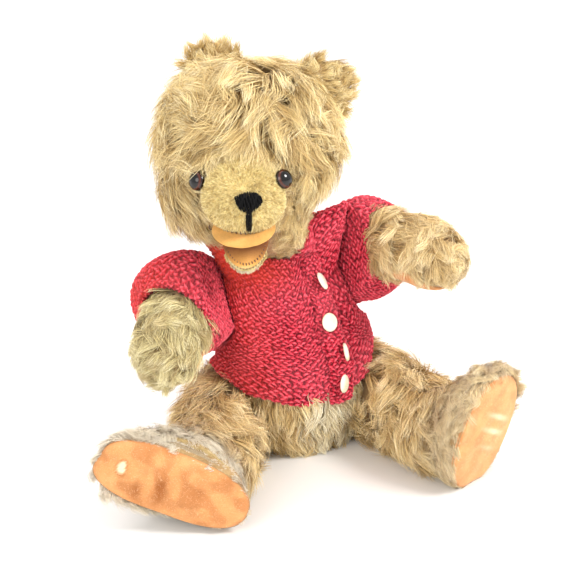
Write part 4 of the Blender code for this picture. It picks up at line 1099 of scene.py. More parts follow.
# ears: plush cups
for _s, _tilt, _reach in (("r", 19.0, 55.0), ("l", 48.0, 60.0)):
    side = -1 if _s == "r" else 1
    base = np.array(head_shape(0.0, 60.0, 0.0))
    lift = unit(CHEEK * side * sin(radians(_tilt)) + UP * cos(radians(_tilt)) - FACE * 0.10)
    centre = base + lift * _reach
    across = unit(np.cross(FACE, lift))
    deep = unit(np.cross(across, lift))
    if np.dot(deep, FACE) < 0:
        deep = -deep
    rings, seg = 40, 64
    lat = np.linspace(-pi / 2, pi / 2, rings)
    lon = 2 * pi * np.arange(seg) / seg
    X = np.cos(lat)[:, None] * np.cos(lon)[None, :]
    Y = np.cos(lat)[:, None] * np.sin(lon)[None, :]
    Z = np.repeat(np.sin(lat)[:, None], seg, 1)
    x, y, z = X * 16.0, Y * 5.0, Z * 15.5
    y = y - 4.0 * (1 - X ** 2) * (1 - Z ** 2) * np.where(y > 0, 1.0, 0.3)
    P = centre + across * x[..., None] + deep * (y + 1.0)[..., None] + lift * z[..., None]
    N = grid_normals(P)
    if ((P - centre) * N).sum(-1).mean() < 0:
        N = -N
    f = grid_faces(rings, seg, wrap=True)
    ob = put_mesh("ear_cloth_" + WORD[_s], P.reshape(-1, 3), f, MAT["backing"])
    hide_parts("ear_" + WORD[_s])
    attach(ob, "head")
    rng = np.random.default_rng(31 if _s == "r" else 32)
    pos, nrm, _ = scatter(P.reshape(-1, 3), f, N.reshape(-1, 3), int(6000 * DENSE), rng)
    up_c = (pos - centre) @ lift
    cmb = units((pos - (centre - lift * 12)) * 1.0) + lift * 0.3 + down * 0.35 + \
        units(vnoise(pos, 8.0, 4.0 + side)) * 0.5
    inner = (nrm @ deep) > 0.4
    pile("ear_pile_" + WORD[_s], pos, nrm, cmb, MAT["mohair"], 104 + side, length=12.0, width=0.34,
         lift=(40.0, -5.0), sag=0.25, lock=4.5, gather=0.78, wave=1.5, segs=5, body="head",
         length_scale=np.where(inner, 0.6, 1.0))


# ------------------------------------------------ limbs
def limb_surface(kind, s, count, segments):
    table = ARM_SECTIONS if kind == "shoulder" else LEG_SECTIONS
    rows = spline_rows(table, count, True, kind == "shoulder")
    rows[:, 1:3] = np.maximum(rows[:, 1:3], 0.02)
    if kind == "hip":
        # the foot rounds over towards the sole
        q = np.clip((rows[:, 0] - 100.0) / 19.0, 0, 1) ** 2
        rows[:, 1] *= 1 - (-0.09 if s == "r" else 0.10) * q
        rows[:, 2] *= 1 - (0.23 if s == "r" else 0.04) * q
    P, info = limb_rings(kind, s, rows, segments)
    point, n = JOINTS[kind + "_" + s]
    ends = rows[:, 1] < 6.0
    Nn = grid_normals(P)
    if ((P[20:] - P[20:].mean(1, keepdims=True)) * Nn[20:]).sum(-1).mean() < 0:
        Nn = -Nn
    draw = np.where(ends, 0.0, 1.4)
    if kind == "hip":
        th_ = 2 * pi * np.arange(segments) / segments
        q_ = np.clip((rows[:, 0] - 96.0) / 23.0, 0, 1)
        c_ = P.mean(1, keepdims=True)
        swell = (0.06 if s == "r" else 0.04) * np.sin(2 * th_) ** 2
        if s == "r":
            swell = swell + 0.15 * np.clip(np.sin(2 * th_), 0, 1) ** 1.5 * (np.cos(th_) > 0)
        P = c_ + (P - c_) * (1 + q_[:, None] * swell[None, :])[..., None]
        draw = draw * np.clip((118.9 - rows[:, 0]) / 6.0, 0, 1)
        P = P + (UP * -1.0) * (np.clip((rows[:, 0] - 96.0) / 23.0, 0, 1) ** 2 * (1.0 if s == "r" else 3.0))[:, None, None]
    P = P - Nn * draw[:, None, None]
    P = press(P, point, -n, -GAP if kind == "hip" else -1.75, within=85.0)
    if kind == "hip":
        P[..., 2] = np.maximum(P[..., 2], 0.0)
    return P, info, rows


for _s in SIDES:
    # legs -------------------------------------------------
    P, info, rows = limb_surface("hip", _s, 70, 72)
    N = grid_normals(P)
    axis_pts = np.array([q[0] for q in info])
    if ((P[20:] - P[20:].mean(1, keepdims=True)) * N[20:]).sum(-1).mean() < 0:
        N = -N
    f = grid_faces(P.shape[0], P.shape[1], wrap=True)
    leg = put_mesh("leg_cloth_" + WORD[_s], P.reshape(-1, 3), f, MAT["backing"])
    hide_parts("leg_skin_" + WORD[_s])
    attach(leg, "leg_" + WORD[_s])
    d = info[0][1]
    A = np.repeat(rows[:, 0][:, None], P.shape[1], 1).reshape(-1, 1)
    uu = np.array([q[2] for q in info])
    cosup = ((P - P.mean(1, keepdims=True)) * uu[:, None]).sum(-1)
    cosup = cosup / np.maximum(np.abs(cosup).max(1, keepdims=True), 1e-6)
    extra = np.column_stack([A[:, 0], cosup.reshape(-1)])
    point, n = JOINTS["hip_" + _s]
    flat = P.reshape(-1, 3)
    keepl = np.ones(len(flat))
    keepl[((flat - point) @ n) < 1.5] = 0
    rng = np.random.default_rng(41 if _s == "r" else 42)
    pos, nrm, ex = scatter(flat, f, N.reshape(-1, 3), int(38000 * DENSE), rng, keepl * (1 + 1.9 * np.clip((A[:, 0] - 92) / 14.0, 0, 1)), extra)
    a = ex[:, 0]
    foot = np.clip((a - 80) / 16.0, 0, 1)
    cmb = d[None] * (0.9 + 0 * a[:, None]) + down * 0.45
    cmb = units(cmb - (cmb * nrm).sum(1, keepdims=True) * nrm)
    swirl = snoise(pos, 19.0, 6.0 if _s == "r" else 8.0) * 2.6 * (1 - 0.7 * foot) + snoise(pos, 8.0, 2.0) * 0.7
    cmb = field_turn(cmb, nrm, swirl)
    rimw = np.clip((a - 103) / 12.0, 0, 1)
    round_ = np.cross(d, nrm)
    top0 = np.clip((ex[:, 1] + 0.2) / 0.8, 0, 1)[:, None]
    back = -d[None] * (0.9 - 1.15 * top0) + round_ * (1.2 if _s == "r" else 0.8)
    back = back - (back * nrm).sum(1, keepdims=True) * nrm
    cmb = units(cmb * (1 - rimw)[:, None] + units(back) * rimw[:, None] + 1e-4)
    top_ = np.clip((ex[:, 1] + 0.2) / 0.8, 0, 1)
    size = 1 - ((0.76 if _s == "r" else 0.62) - (0.34 if _s == "r" else 0.22) * top_) * foot
    end_near = np.clip((124.0 - a) / 9.0, 0.55, 1) * (1 - (0.72 if _s == "r" else 0.5) * rimw * (1 - top_))
    pale = foot * (0.95 if _s == "r" else 0.30)
    pile("leg_pile_" + WORD[_s], pos, nrm, cmb, MAT["mohair_dark"], 110 + (_s == "l"), length=22.0, width=0.33, cross=0.45,
         lift=(46.0, -20.0), sag=0.16, lock=6.5, gather=0.84, wave=3.4, segs=5, body="leg_" + WORD[_s],
         length_scale=size * end_near, tone=pale, max_per=14500)
    # the sole: felt pad with a rolled edge
    rim = P[-1]
    mid = rim.mean(0)
    dn = unit(np.cross(rim[0] - mid, rim[P.shape[1] // 4] - mid))
    if np.dot(dn, d) < 0:
        dn = -dn
    u0 = info[-1][2]
    w0 = info[-1][3]
    rr = np.concatenate([np.linspace(0.0, 0.93, 40), [0.955, 0.975, 0.985, 0.98, 0.965]])
    hh_ = np.concatenate([np.full(40, 0.0), [-0.25, -0.75, -1.5, -2.4, -3.2]])
    pad = []
    att = []
    for q, h_off in zip(rr * 1.016, hh_):
        ring = mid + (rim - mid) * q + dn * (h_off + 0.75)
        pad.append(ring)
    pad = np.array(pad)
    x_n = ((pad - mid) @ w0) / 25.0
    y_n = ((pad - mid) @ u0) / 41.0
    dome = 1.4 * (1 - np.clip(rr, 0, 1) ** 2)
    wr = snoise(pad.reshape(-1, 3), 14.0, 3.0).reshape(pad.shape[:2]) * 0.9
    crease = 0.0
    if _s == "l":
        for yc, am in ((0.28, 0.75), (0.05, 0.8), (-0.22, 0.45)):
            crease = crease + am * np.exp(-((y_n - yc + 0.12 * x_n) / 0.055) ** 2) * np.clip(1 - np.abs(x_n - 0.2) * 1.2, 0, 1)
    else:
        crease = 0.5 * np.exp(-((x_n * 0.6 + y_n - 0.1) / 0.05) ** 2) * np.clip(1 - np.abs(y_n) * 1.4, 0, 1)
    inside = np.clip((0.95 - rr) / 0.3, 0, 1)[:, None]
    pad = pad + dn * ((dome[:, None] + wr * inside + crease * inside)[..., None])
    At = np.zeros(pad.shape[:2] + (4,), np.float32)
    # painted shade darkening the rolled rim
    At[..., 2] = np.clip((rr - 0.93) / 0.05, 0, 1)[:, None]
    blot = snoise(pad.reshape(-1, 3), 10.0, 12.0).reshape(pad.shape[:2])
    if _s == "r":
        side_sign = 1.0
        # worn hole with pale edges near the toe, brown stain at the middle
        tx, ty = 0.056, 0.735
        dd = np.hypot((x_n - tx) / 0.15, (y_n - ty) / 0.055)
        dd = dd + 0.35 * snoise(pad.reshape(-1, 3), 3.0, 15.0).reshape(pad.shape[:2])
        At[..., 0] = np.clip(3.0 * (1.15 - dd), 0, 1)
        stain = 0.0
        for sx_, sy_, wx_, wy_, am_ in ((0.32, 0.12, 0.36, 0.11, 1.0), (0.43, 0.42, 0.20, 0.09, 0.55),
                                        (0.50, -0.10, 0.18, 0.07, 0.45), (-0.1, -0.35, 0.3, 0.1, 0.25)):
            stain = stain + am_ * np.exp(-((x_n - sx_) / wx_) ** 2 - ((y_n - sy_) / wy_) ** 2)
        ring_ = 0.6 * np.exp(-((dd - 1.3) / 0.25) ** 2)
        At[..., 1] = np.clip(stain + ring_ + np.clip(blot * 1.6, 0, 0.45), 0, 1)
    else:
        # painted highlight: pale along the crease ridges
        At[..., 0] = np.clip(crease * 1.5 - 0.25, 0, 1) * 0.9
        At[..., 1] = np.clip(blot * 1.2, 0, 0.25)
        At[..., 1] += np.clip(1.2 - np.hypot((x_n + 0.15) / 0.07, (y_n - 0.78) / 0.03), 0, 1) * 0.9
    ob = put_mesh("sole_felt_" + WORD[_s], pad.reshape(-1, 3), grid_faces(len(rr), P.shape[1], wrap=True),
                  MAT["pad"], attrs={"pad": At.reshape(-1, 4)})
    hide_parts("foot_pad_" + WORD[_s])
    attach(ob, "leg_" + WORD[_s])
    rng = np.random.default_rng(51)
    pn = np.repeat(dn[None], pad.shape[0] * pad.shape[1], 0)
    pos, nrm, _ = scatter(pad[:40].reshape(-1, 3), grid_faces(40, P.shape[1], wrap=True), pn[:40 * P.shape[1]],
                          int(4200 * DENSE), rng)
    pile("sole_fuzz_" + WORD[_s], pos, nrm, units(vnoise(pos, 3.0, 1.0)) + 0.01, MAT["pad_fuzz"], 52, length=1.6,
         width=0.16, lift=(55.0, 10.0), sag=0.0, lock=1.5, gather=0.3, wave=0.3, segs=2,
         body="leg_" + WORD[_s])

    # arms -------------------------------------------------
    P, info, rows = limb_surface("shoulder", _s, 66, 64)
    N = grid_normals(P)
    if ((P[20:50] - P[20:50].mean(1, keepdims=True)) * N[20:50]).sum(-1).mean() < 0:
        N = -N
    f = grid_faces(P.shape[0], P.shape[1], wrap=True)
    arm = put_mesh("arm_cloth_" + WORD[_s], P.reshape(-1, 3), f, MAT["backing"])
    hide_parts("arm_skin_" + WORD[_s])
    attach(arm, "arm_" + WORD[_s])
    A = np.repeat(rows[:, 0][:, None], P.shape[1], 1).reshape(-1)
    th = np.tile(2 * pi * np.arange(P.shape[1]) / P.shape[1], P.shape[0])
    dirs = np.repeat(np.array([q[1] for q in info])[:, None], P.shape[1], 1).reshape(-1, 3)
    ups = np.repeat(np.array([q[2] for q in info])[:, None], P.shape[1], 1).reshape(-1, 3)
    under = -np.cos(th)
    reach = SLEEVE_LOOK[_s]["reach"]
    side_on = (-1.0 if _s == "r" else 1.0) * np.sin(th)
    keepa = np.clip((A - (reach - 2.5 + SLEEVE_LOOK[_s]["skew"] * side_on)) / 3.0, 0, 1)
    padm = (under > 0.42) & (A > 56) & (A < 102)
    keepa[padm] = 0
    rng = np.random.default_rng(61 if _s == "r" else 62)
    extra = np.column_stack([A, under, dirs, ups])
    pos, nrm, ex = scatter(P.reshape(-1, 3), f, N.reshape(-1, 3), int(18000 * DENSE), rng, keepa, extra)
    a = ex[:, 0]
    cmb = units(ex[:, 2:5]) + down * 0.35
    tip = np.clip((a - 70) / 30.0, 0, 1)
    around = np.cross(units(ex[:, 2:5]), nrm)
    cmb = cmb + around * (0.9 * tip)[:, None]
    cmb = units(cmb - (cmb * nrm).sum(1, keepdims=True) * nrm)
    cmb = field_turn(cmb, nrm, snoise(pos, 17.0, 14.0 if _s == "r" else 17.0) * 2.3)
    padnear = 1 - 0.68 * np.clip((ex[:, 1] + 0.15) / 0.5, 0, 1) * np.clip((a - 54) / 8.0, 0, 1)
    padnear = padnear * (1 - 0.45 * np.clip((a - 84) / 16.0, 0, 1))
    pile("arm_pile_" + WORD[_s], pos, nrm, cmb, MAT["mohair_paw" if _s == "r" else "mohair_dark"], 120 + (_s == "l"), length=17.0, width=0.31, cross=0.4,
         lift=(30.0, -30.0), sag=0.06, lock=6.0, gather=0.84, wave=3.0, segs=5, body="arm_" + WORD[_s],
         length_scale=padnear, tone=np.full(len(pos), 0.05))
    # paw pad: felt under the paw
    sel = [i for i in range(len(rows)) if 56 <= rows[i, 0] <= 102]
    jj = np.arange(-15, 16)
    base_j = P.shape[1] // 2
    G = []
    for i in sel:
        ring = P[i]
        m_ = ring.mean(0)
        row = []
        f_a = (rows[i, 0] - 79.0) / 23.2
        half = np.sqrt(max(1 - abs(f_a) ** 2.6, 0.0))
        for j in jj:
            x = j / 15.0 * half
            th_j = pi + x * 1.15
            k = th_j / (2 * pi) * P.shape[1]
            k0, kf = int(np.floor(k)) % P.shape[1], k - np.floor(k)
            q = ring[k0] * (1 - kf) + ring[(k0 + 1) % P.shape[1]] * kf
            edge = max(abs(j) / 15.0, abs(f_a))
            row.append(q + unit(q - m_) * (2.0 - 1.3 * np.clip((edge - 0.85) / 0.15, 0, 1)))
        G.append(row)
    G = np.array(G)
    At = np.zeros(G.shape[:2] + (4,), np.float32)
    At[..., 1] = np.clip(snoise(G.reshape(-1, 3), 8.0, 3.0).reshape(G.shape[:2]) * 1.3, 0, 0.3)
    ob = put_mesh("paw_felt_" + WORD[_s], G.reshape(-1, 3), grid_faces(G.shape[0], G.shape[1]), MAT["pad"],
                  attrs={"pad": At.reshape(-1, 4)})
    sol = ob.modifiers.new("cloth", "SOLIDIFY")
    sol.thickness = 1.3 * MM
    sol.offset = 0.0
    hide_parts("paw_pad_" + WORD[_s])
    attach(ob, "arm_" + WORD[_s])

# ------------------------------------------------ torso
tp = smooth_profile(TORSO_PROFILE, 70)
tp = [(max(r, 0.02), min(max(z, 0.0), 127.7)) for r, z in tp]
TS = 96
tang = 2 * pi * np.arange(TS) / TS
TP = np.array([[torso_shape(r, z, (a + pi) % (2 * pi) - pi) for a in tang] for r, z in tp])
for key, (p, n) in JOINTS.items():
    TP = press(TP, p, n, -1.75, within=60.0 if "hip" in key else 34.0)
TN = grid_normals(TP)
if ((TP - np.array([0, 0, 60.0])) * TN).sum(-1).mean() < 0:
    TN = -TN
tf = grid_faces(len(tp), TS, wrap=True)
torso = put_mesh("torso_cloth", TP.reshape(-1, 3), tf, MAT["backing_cream"])
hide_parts("torso_skin")
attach(torso, "torso")
flat = TP.reshape(-1, 3)
keept = np.clip((56.0 - flat[:, 2]) / 6.0, 0, 1) * (flat[:, 2] > 0.5)
for key in ("hip_r", "hip_l"):
    p, n = JOINTS[key]
    q = flat - p
    s = q @ n
    near_disc = (s > -1.5) & (np.linalg.norm(q - s[:, None] * n, axis=1) < 24)
    keept[near_disc] = 0
rng = np.random.default_rng(71)
pos, nrm, _ = scatter(flat, tf, TN.reshape(-1, 3), int(13000 * DENSE), rng, keept)
cmb = np.tile(down, (len(pos), 1)) + np.column_stack([np.sign(pos[:, 0]) * -0.15, np.zeros(len(pos)), np.zeros(len(pos))])
bottom = nrm[:, 2] < -0.8
cmb[bottom] = np.array([0.2, 1.0, 0.0])
cmb = units(cmb - (cmb * nrm).sum(1, keepdims=True) * nrm)
cmb = field_turn(cmb, nrm, snoise(pos, 15.0, 22.0) * 1.3)
scale_b = np.where(pos[:, 2] < 6, 0.4, 1.0) * np.where(nrm[:, 2] < -0.6, 0.3, 1.0)
mid_x = np.abs(pos[:, 0] - 6.0) + snoise(pos, 9.0, 2.0) * 8.0
creamy = (mid_x < 17.0) & (pos[:, 1] < 0) & (pos[:, 2] > 12)
for nm, sel, mt, sd in (("belly_pile", creamy, MAT["cream"], 130), ("seat_pile", ~creamy, MAT["mohair_dark"], 131)):
    pile(nm, pos[sel], nrm[sel], cmb[sel], mt, sd, length=16.0, width=0.52, lift=(50.0, -5.0), sag=0.2, lock=5.5,
         gather=0.8, wave=1.9, segs=5, body="torso", length_scale=scale_b[sel])


# ------------------------------------------------ cardigan: moss stitch in relief
def hash01(i, j, seed):
    v = np.sin(i * 127.1 + j * 311.7 + seed * 74.7) * 43758.5453
    return v - np.floor(v)


def moss(u, v, seed=1.0, cw=3.7, ch=2.9, period=None):
    """Relief from 0 to 1 and the stitch's own draw, at lengths u and v (mm)."""
    rel = np.zeros_like(u)
    own = np.zeros_like(u)
    i0, j0 = np.floor(u / cw), np.floor(v / ch)
    for di in (-1, 0, 1):
        for dj in (-1, 0, 1):
            i, j = i0 + di, j0 + dj
            par = np.mod(i + j, 2)
            k = i if period is None else np.mod(i, period)
            jx = (hash01(k, j, seed) - 0.5) * 0.60
            jy = (hash01(k, j, seed + 3) - 0.5) * 0.60
            cx, cy = (i + 0.5 + jx) * cw, (j + 0.5 + jy) * ch
            x, y = (u - cx) / cw, (v - cy) / ch
            tilt = (hash01(k, j, seed + 5) - 0.5) * 1.7
            # purl bump: a bean lying across the row, its ends tucked down
            yb = y + tilt * x + 0.9 * x * x
            bean = np.sqrt(np.maximum(1 - (x / 0.74) ** 2 - (yb / 0.50) ** 2, 0))
            # knit loop: two legs leaning together
            leg = np.minimum(np.abs(x - 0.17 - 0.25 * y), np.abs(x + 0.17 + 0.25 * y))
            vee = 0.62 * np.sqrt(np.maximum(1 - (leg / 0.17) ** 2, 0)) * np.sqrt(np.maximum(1 - (y / 0.62) ** 2, 0))
            h = np.where(par < 0.5, bean, vee)
            draw = hash01(k, j, seed + 9)
            h = h * (0.78 + 0.22 * hash01(k, j, seed + 13))
            better = h > rel
            rel = np.where(better, h, rel)
            own = np.where(better, draw, own)
    return rel, own


KNIT_RELIEF = 1.65


def box_blur(a, k, axis, mode="edge"):
    pad = [(0, 0), (0, 0)]
    pad[axis] = (k // 2, k // 2)
    b = np.pad(a, pad, mode=mode)
    c = np.cumsum(np.insert(b, 0, 0, axis=axis), axis=axis)
    hi = np.take(c, np.arange(k, c.shape[axis]), axis=axis)
    lo = np.take(c, np.arange(0, c.shape[axis] - k), axis=axis)
    return (hi - lo) / k


def smooth_noise_grid(P, scale, seed, wrap=False):
    """Noise on a fine grid, worked out coarsely and smoothed between."""
    st = 5
    q = P[::st, ::st]
    f = snoise(q.reshape(-1, 3), scale, seed).reshape(q.shape[:2])
    f = np.kron(f, np.ones((st, st)))[:P.shape[0], :P.shape[1]]
    f = np.pad(f, ((0, P.shape[0] - f.shape[0]), (0, P.shape[1] - f.shape[1])), mode="edge")
    for _ in range(2):
        f = box_blur(f, 9, 0)
        f = box_blur(f, 9, 1, "wrap" if wrap else "edge")
    return f


def rolled(P, N, start, end, radius=1.7, tuck=5.0, step=0.45):
    """The sheet with its first or last rows turned under to the back."""
    out = P
    for where, on in (("start", start), ("end", end)):
        if not on:
            continue
        e, nx = (out[0], out[2]) if where == "start" else (out[-1], out[-3])
        n = N[0] if where == "start" else N[-1]
        t = units(e - nx)
        rows = []
        for k in range(1, 12):
            a = pi * k / 11
            rows.append(e + t * (radius * sin(a)) - n * (radius * (1 - cos(a))))
        for k in range(1, int(tuck / (step * 1.8))):
            rows.append(e - n * (2 * radius) - t * (k * step * 1.8))
        rows = np.array(rows)
        out = np.concatenate([rows[::-1], out]) if where == "start" else np.concatenate([out, rows])
    return out


def lengths(P, wrap=False):
    mid = P[P.shape[0] // 2]
    du = np.linalg.norm(np.diff(P, axis=1), axis=-1)
    du = du[int(P.shape[0] * 0.3):int(P.shape[0] * 0.9)].mean(0)
    u = np.concatenate([[0], np.cumsum(du)])
    close = np.linalg.norm(mid[0] - mid[-1])
    dv = np.linalg.norm(np.diff(P, axis=0), axis=-1).mean(1)
    v = np.concatenate([[0], np.cumsum(dv)])
    return u, v, close


def knit_piece(name, P, seed, wrap=False, relief=KNIT_RELIEF, warm=None, replaces=(), cw=2.35, ch=1.95,
               flip=False, split=None, roll=(True, True), radius=1.7):
    """A knitted sheet from a fine grid of its face, its edges turned under."""
    N = grid_normals(P, wrap)
    if flip:
        N = -N
    rows0 = P.shape[0]
    P2 = rolled(P, N, roll[0], roll[1], radius)
    if warm is not None:
        extra0 = 0
        if roll[0]:
            extra0 = len(rolled(P, N, True, False, radius)) - rows0
        extra1 = P2.shape[0] - rows0 - extra0
        warm = np.pad(warm, ((extra0, extra1), (0, 0)), mode="edge")
    P = P2
    N = grid_normals(P, wrap)
    if flip:
        N = -N
    u, v, close = lengths(P, wrap)
    if wrap:
        total = u[-1] + close
        cells = max(2, 2 * round(total / cw / 2))
        u = u * (cells * cw / total)
        period = cells
    else:
        period = None
    U = np.tile(u, (P.shape[0], 1))
    V = np.tile(v[:, None], (1, P.shape[1]))
    drift = smooth_noise_grid(P, 20.0, seed + 5.0, wrap) * 1.6
    rel, own = moss(U, V + drift, seed, cw, ch, period)
    broad = smooth_noise_grid(P, 24.0, seed, wrap)
    front = P + N * (relief * (rel - 0.45))[..., None]
    rows, cols = P.shape[:2]
    A = np.zeros((rows, cols, 4), np.float32)
    # the relief also drives the knit's painted shade and highlight
    A[..., 0] = rel
    A[..., 1] = own
    A[..., 2] = np.clip(0.5 + broad * 1.3, 0, 1)
    if warm is not None:
        A[..., 3] = warm
    obs = []
    spans = [(0, cols)] if split is None else [(a, min(b + 1, cols)) for a, b in zip([0] + split, split + [cols])]
    for k, (a, b) in enumerate(spans):
        part = front[:, a:b]
        fq = grid_faces(rows, b - a, wrap=wrap, flip=flip)
        nm = name if len(spans) == 1 else "%s_%d" % (name, k + 1)
        ob = put_mesh(nm, part.reshape(-1, 3), fq, MAT["knit"], attrs={"knit": A[:, a:b].reshape(-1, 4)})
        grid_uv(ob, rows, b - a, wrap)
        obs.append(ob)
    if replaces:
        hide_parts(*replaces)
    return obs, front, N


def fuzz(name, front, N, body, count, seed, wrap=False, length=2.6):
    rng = np.random.default_rng(seed)
    f = grid_faces(front.shape[0], front.shape[1], wrap=wrap)
    pos, nrm, _ = scatter(front.reshape(-1, 3), f, N.reshape(-1, 3), int(count * DENSE), rng)
    return pile(name, pos, nrm, units(vnoise(pos, 2.5, seed * 0.1)) + 0.01, MAT["wool_fuzz"], seed, length=length,
                width=0.13, lift=(50.0, 5.0), sag=0.05, lock=1.6, gather=0.25, wave=0.5, segs=3, body=body)


def torso_radius(z):
    zs = [p[1] for p in TORSO_PROFILE[2:-1]]
    rs = [p[0] for p in TORSO_PROFILE[2:-1]]
    return float(np.interp(z, zs, rs))


_tz = np.linspace(0, 128, 257)
_tr = np.array([torso_radius(z) for z in _tz])
_ker = np.exp(-np.linspace(-2, 2, 25) ** 2)
_tr_s = np.convolve(np.pad(_tr, 12, mode="edge"), _ker / _ker.sum(), "valid")


def wrap_point(grow, z, ang):
    r = float(np.interp(z, _tz, _tr_s))
    x, y, zz = torso_shape(r, z, (ang - pi / 2 + pi) % (2 * pi) - pi)
    cx, cy = LEAN_X * z, LEAN_Y * z
    d = unit(np.array([x - cx, y - cy, 0.0]))
    return np.array([x, y, zz]) + d * grow


band = radians(BAND_ANGLE)
gap_half = radians(1.5)
STEP = 0.41
cols = int(300 / STEP)
rws = int(100 / STEP)
angs = np.linspace(band - radians(6), band - gap_half + 2 * pi, cols)


def around(a):
    return (a + pi) % (2 * pi) - pi


def hem_at(a):
    """Height of the hem at an angle: it rides up over the thighs."""
    x = around(a)
    return HEM_Z + 4.0 - 9.0 * np.exp(-(x / 0.5) ** 2) + 4.0 * np.exp(-((abs(x) - 1.15) / 0.4) ** 2)


def top_at(a):
    """Height of the neck edge: it stands up by the raised left arm."""
    x = np.degrees(around(a))
    return float(np.interp(x, (-135, -112, -92, -72, -54, -36, -4, 8, 17, 28, 44, 60, 84, 108, 125),
                           (130, 141, 148, 145, 136, 130, 128.5, 137, 148, 154, 157, 157, 151, 137, 129)))


def clear_head(p, margin):
    """Move a point of the collar out past the head's side."""
    h = p[2] - NECK[2]
    if h < 0.8:
        return p
    rs = [q[0] for q in HEAD_PROFILE]
    zs = [q[1] for q in HEAD_PROFILE]
    order = np.argsort(zs, kind="stable")
    r = float(np.interp(h, np.array(zs)[order], np.array(rs)[order]))
    c = np.array(head_shape(0.0, h, 0.0))
    v = (p - c) * np.array([1.0, 1.0, 0.0])
    side, fwd = v @ CHEEK, v @ FACE
    q = np.array(head_shape(r, h, np.arctan2(-fwd / 0.9, side)))
    dq, dp = np.linalg.norm((q - c)[:2]), np.linalg.norm(v)
    if dp < dq + margin:
        p = c + v * ((dq + margin) / max(dp, 1e-6))
    return p


def body_point(z, a, grow):
    x = around(a)
    zc = min(z, 116.0)
    # the knit hangs wide of the waist at the sides
    wide = 5.0 * np.exp(-((z - 62.0) / 30.0) ** 2) * np.clip(abs(sin(x)) * 1.2, 0, 1)
    p = wrap_point(grow + wide, zc, a)
    if z > zc:
        d = unit(np.array([p[0] - LEAN_X * zc, p[1] - LEAN_Y * zc, 0.0]))
        lean = -0.22 * (z - zc) * np.exp(-max(z - 128.0, 0) / 9.0)
        # beside the raised arm the collar is pushed outwards
        side = np.exp(-((np.degrees(x) - 66.0) / 38.0) ** 4)
        right = np.exp(-((np.degrees(x) + 90.0) / 34.0) ** 4)
        lean = lean * (1 - side) * (1 - right)
        p = p + UP * (z - zc) + d * (lean + 0.24 * (z - zc) * side + 0.50 * (z - zc) * right)
        if 0 < x < radians(110) or radians(-130) < x < radians(-50):
            p = clear_head(p, 1.5 * min((z - zc) / 10.0, 1.0))
    return p


def body_grid(a_list, rows, grow):
    out = np.zeros((rows, len(a_list), 3))
    st = 4
    for j, a in enumerate(a_list):
        z0, z1 = hem_at(a), top_at(a)
        zz = np.linspace(z0, z1, rows)
        key = np.arange(0, rows, st)
        if key[-1] != rows - 1:
            key = np.append(key, rows - 1)
        pts = np.array([body_point(zz[i], a, grow + 1.2 * sin((zz[i] - z0) / 6.0) * np.exp(-(zz[i] - z0) / 9.0))
                        for i in key])
        for k in range(3):
            out[:, j, k] = np.interp(np.arange(rows), key, pts[:, k])
    return out


def soft_press(P, point, axis, level, inner, outer):
    """Flatten onto a plane within a radius, easing off outside it."""
    q = P - point
    s_ = q @ axis
    away = np.linalg.norm(q - s_[..., None] * axis, axis=-1)
    w = np.clip((outer - away) / (outer - inner), 0, 1)
    w = w * w * (3 - 2 * w)
    return P - (np.maximum(s_ - level, 0) * w)[..., None] * axis


centre_t = np.array([LEAN_X * 80, LEAN_Y * 80, 80.0])
BP = body_grid(angs, rws, 4.8)
BN = grid_normals(BP, wrap=False)
flip_b = ((BP - centre_t) * BN).sum(-1).mean() < 0
folds = smooth_noise_grid(BP, 30.0, 5.0)
BP = BP + (-BN if flip_b else BN) * (folds * 2.0)[..., None]
for key, rise in (("shoulder_r", 5.0), ("shoulder_l", 8.0)):
    p, n = JOINTS[key]
    q = BP - p
    s0 = q @ n
    ray = q - s0[..., None] * n
    away = np.linalg.norm(ray, axis=-1)
    w = np.clip((s0 + 17.0) / 14.0, 0, 1)
    w = w * w * (3 - 2 * w) * np.clip(away / 20.0, 0, 1) * np.clip((52.0 - away) / 14.0, 0, 1)
    w = w * np.clip((150.0 - BP[..., 2]) / 14.0, 0, 1)
    BP = BP + ray / np.maximum(away, 1e-6)[..., None] * (rise * w)[..., None]
    BP = soft_press(BP, p, n, -0.6, 27.0, 36.0)
for key in ("hip_r", "hip_l"):
    p, n = JOINTS[key]
    BP = soft_press(BP, p, n, -0.6, 36.0, 44.0)
# round the sleeve roots the knit never dips below the body under it
TPU = np.array([[torso_shape(r, z, (a + pi) % (2 * pi) - pi) for a in tang] for r, z in tp])
under = BVHTree.FromPolygons([Vector(v) for v in TPU.reshape(-1, 3)], [tuple(int(i) for i in f_) for f_ in tf])
mid_t = np.array([LEAN_X * 70, LEAN_Y * 70, 70.0])
for key in ("shoulder_r", "shoulder_l"):
    p, n = JOINTS[key]
    q = BP - p
    s0 = q @ n
    away = np.linalg.norm(q - s0[..., None] * n, axis=-1)
    near_ = np.clip((away - 29.0) / 5.0, 0, 1) * np.clip((74.0 - away) / 8.0, 0, 1)
    for i_, j_ in np.argwhere((near_ > 0) & (s0 > -34.0) & (BP[..., 2] < 124.0) & (BP[..., 2] > 46.0)):
        q_ = BP[i_, j_]
        loc, nn_, _f, _d = under.find_nearest(Vector(q_))
        nn_, loc = np.array(nn_), np.array(loc)
        if (loc - mid_t) @ nn_ < 0:
            nn_ = -nn_
        h_ = (q_ - loc) @ nn_
        if h_ < 1.5:
            BP[i_, j_] = q_ + nn_ * ((1.5 - h_) * near_[i_, j_])
warm_b = np.clip((-BP[..., 0] - 18) / 30.0, 0, 1) * 0.30 + \
    np.clip((BP[..., 2] - 108) / 14.0, 0, 1) * np.clip(-(BP[..., 0] + 5) / 20, 0, 1) * 0.55
body_obs, bfront, bnorm = knit_piece("cardigan_knit", BP, 1.0, warm=np.clip(warm_b, 0, 1),
                                     replaces=("cardigan_body",), flip=flip_b,
                                     split=[cols // 3, 2 * cols // 3])
for ob in body_obs:
    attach(ob, "torso")
fuzz("cardigan_fuzz", bfront, bnorm, "torso", 26000, 201)

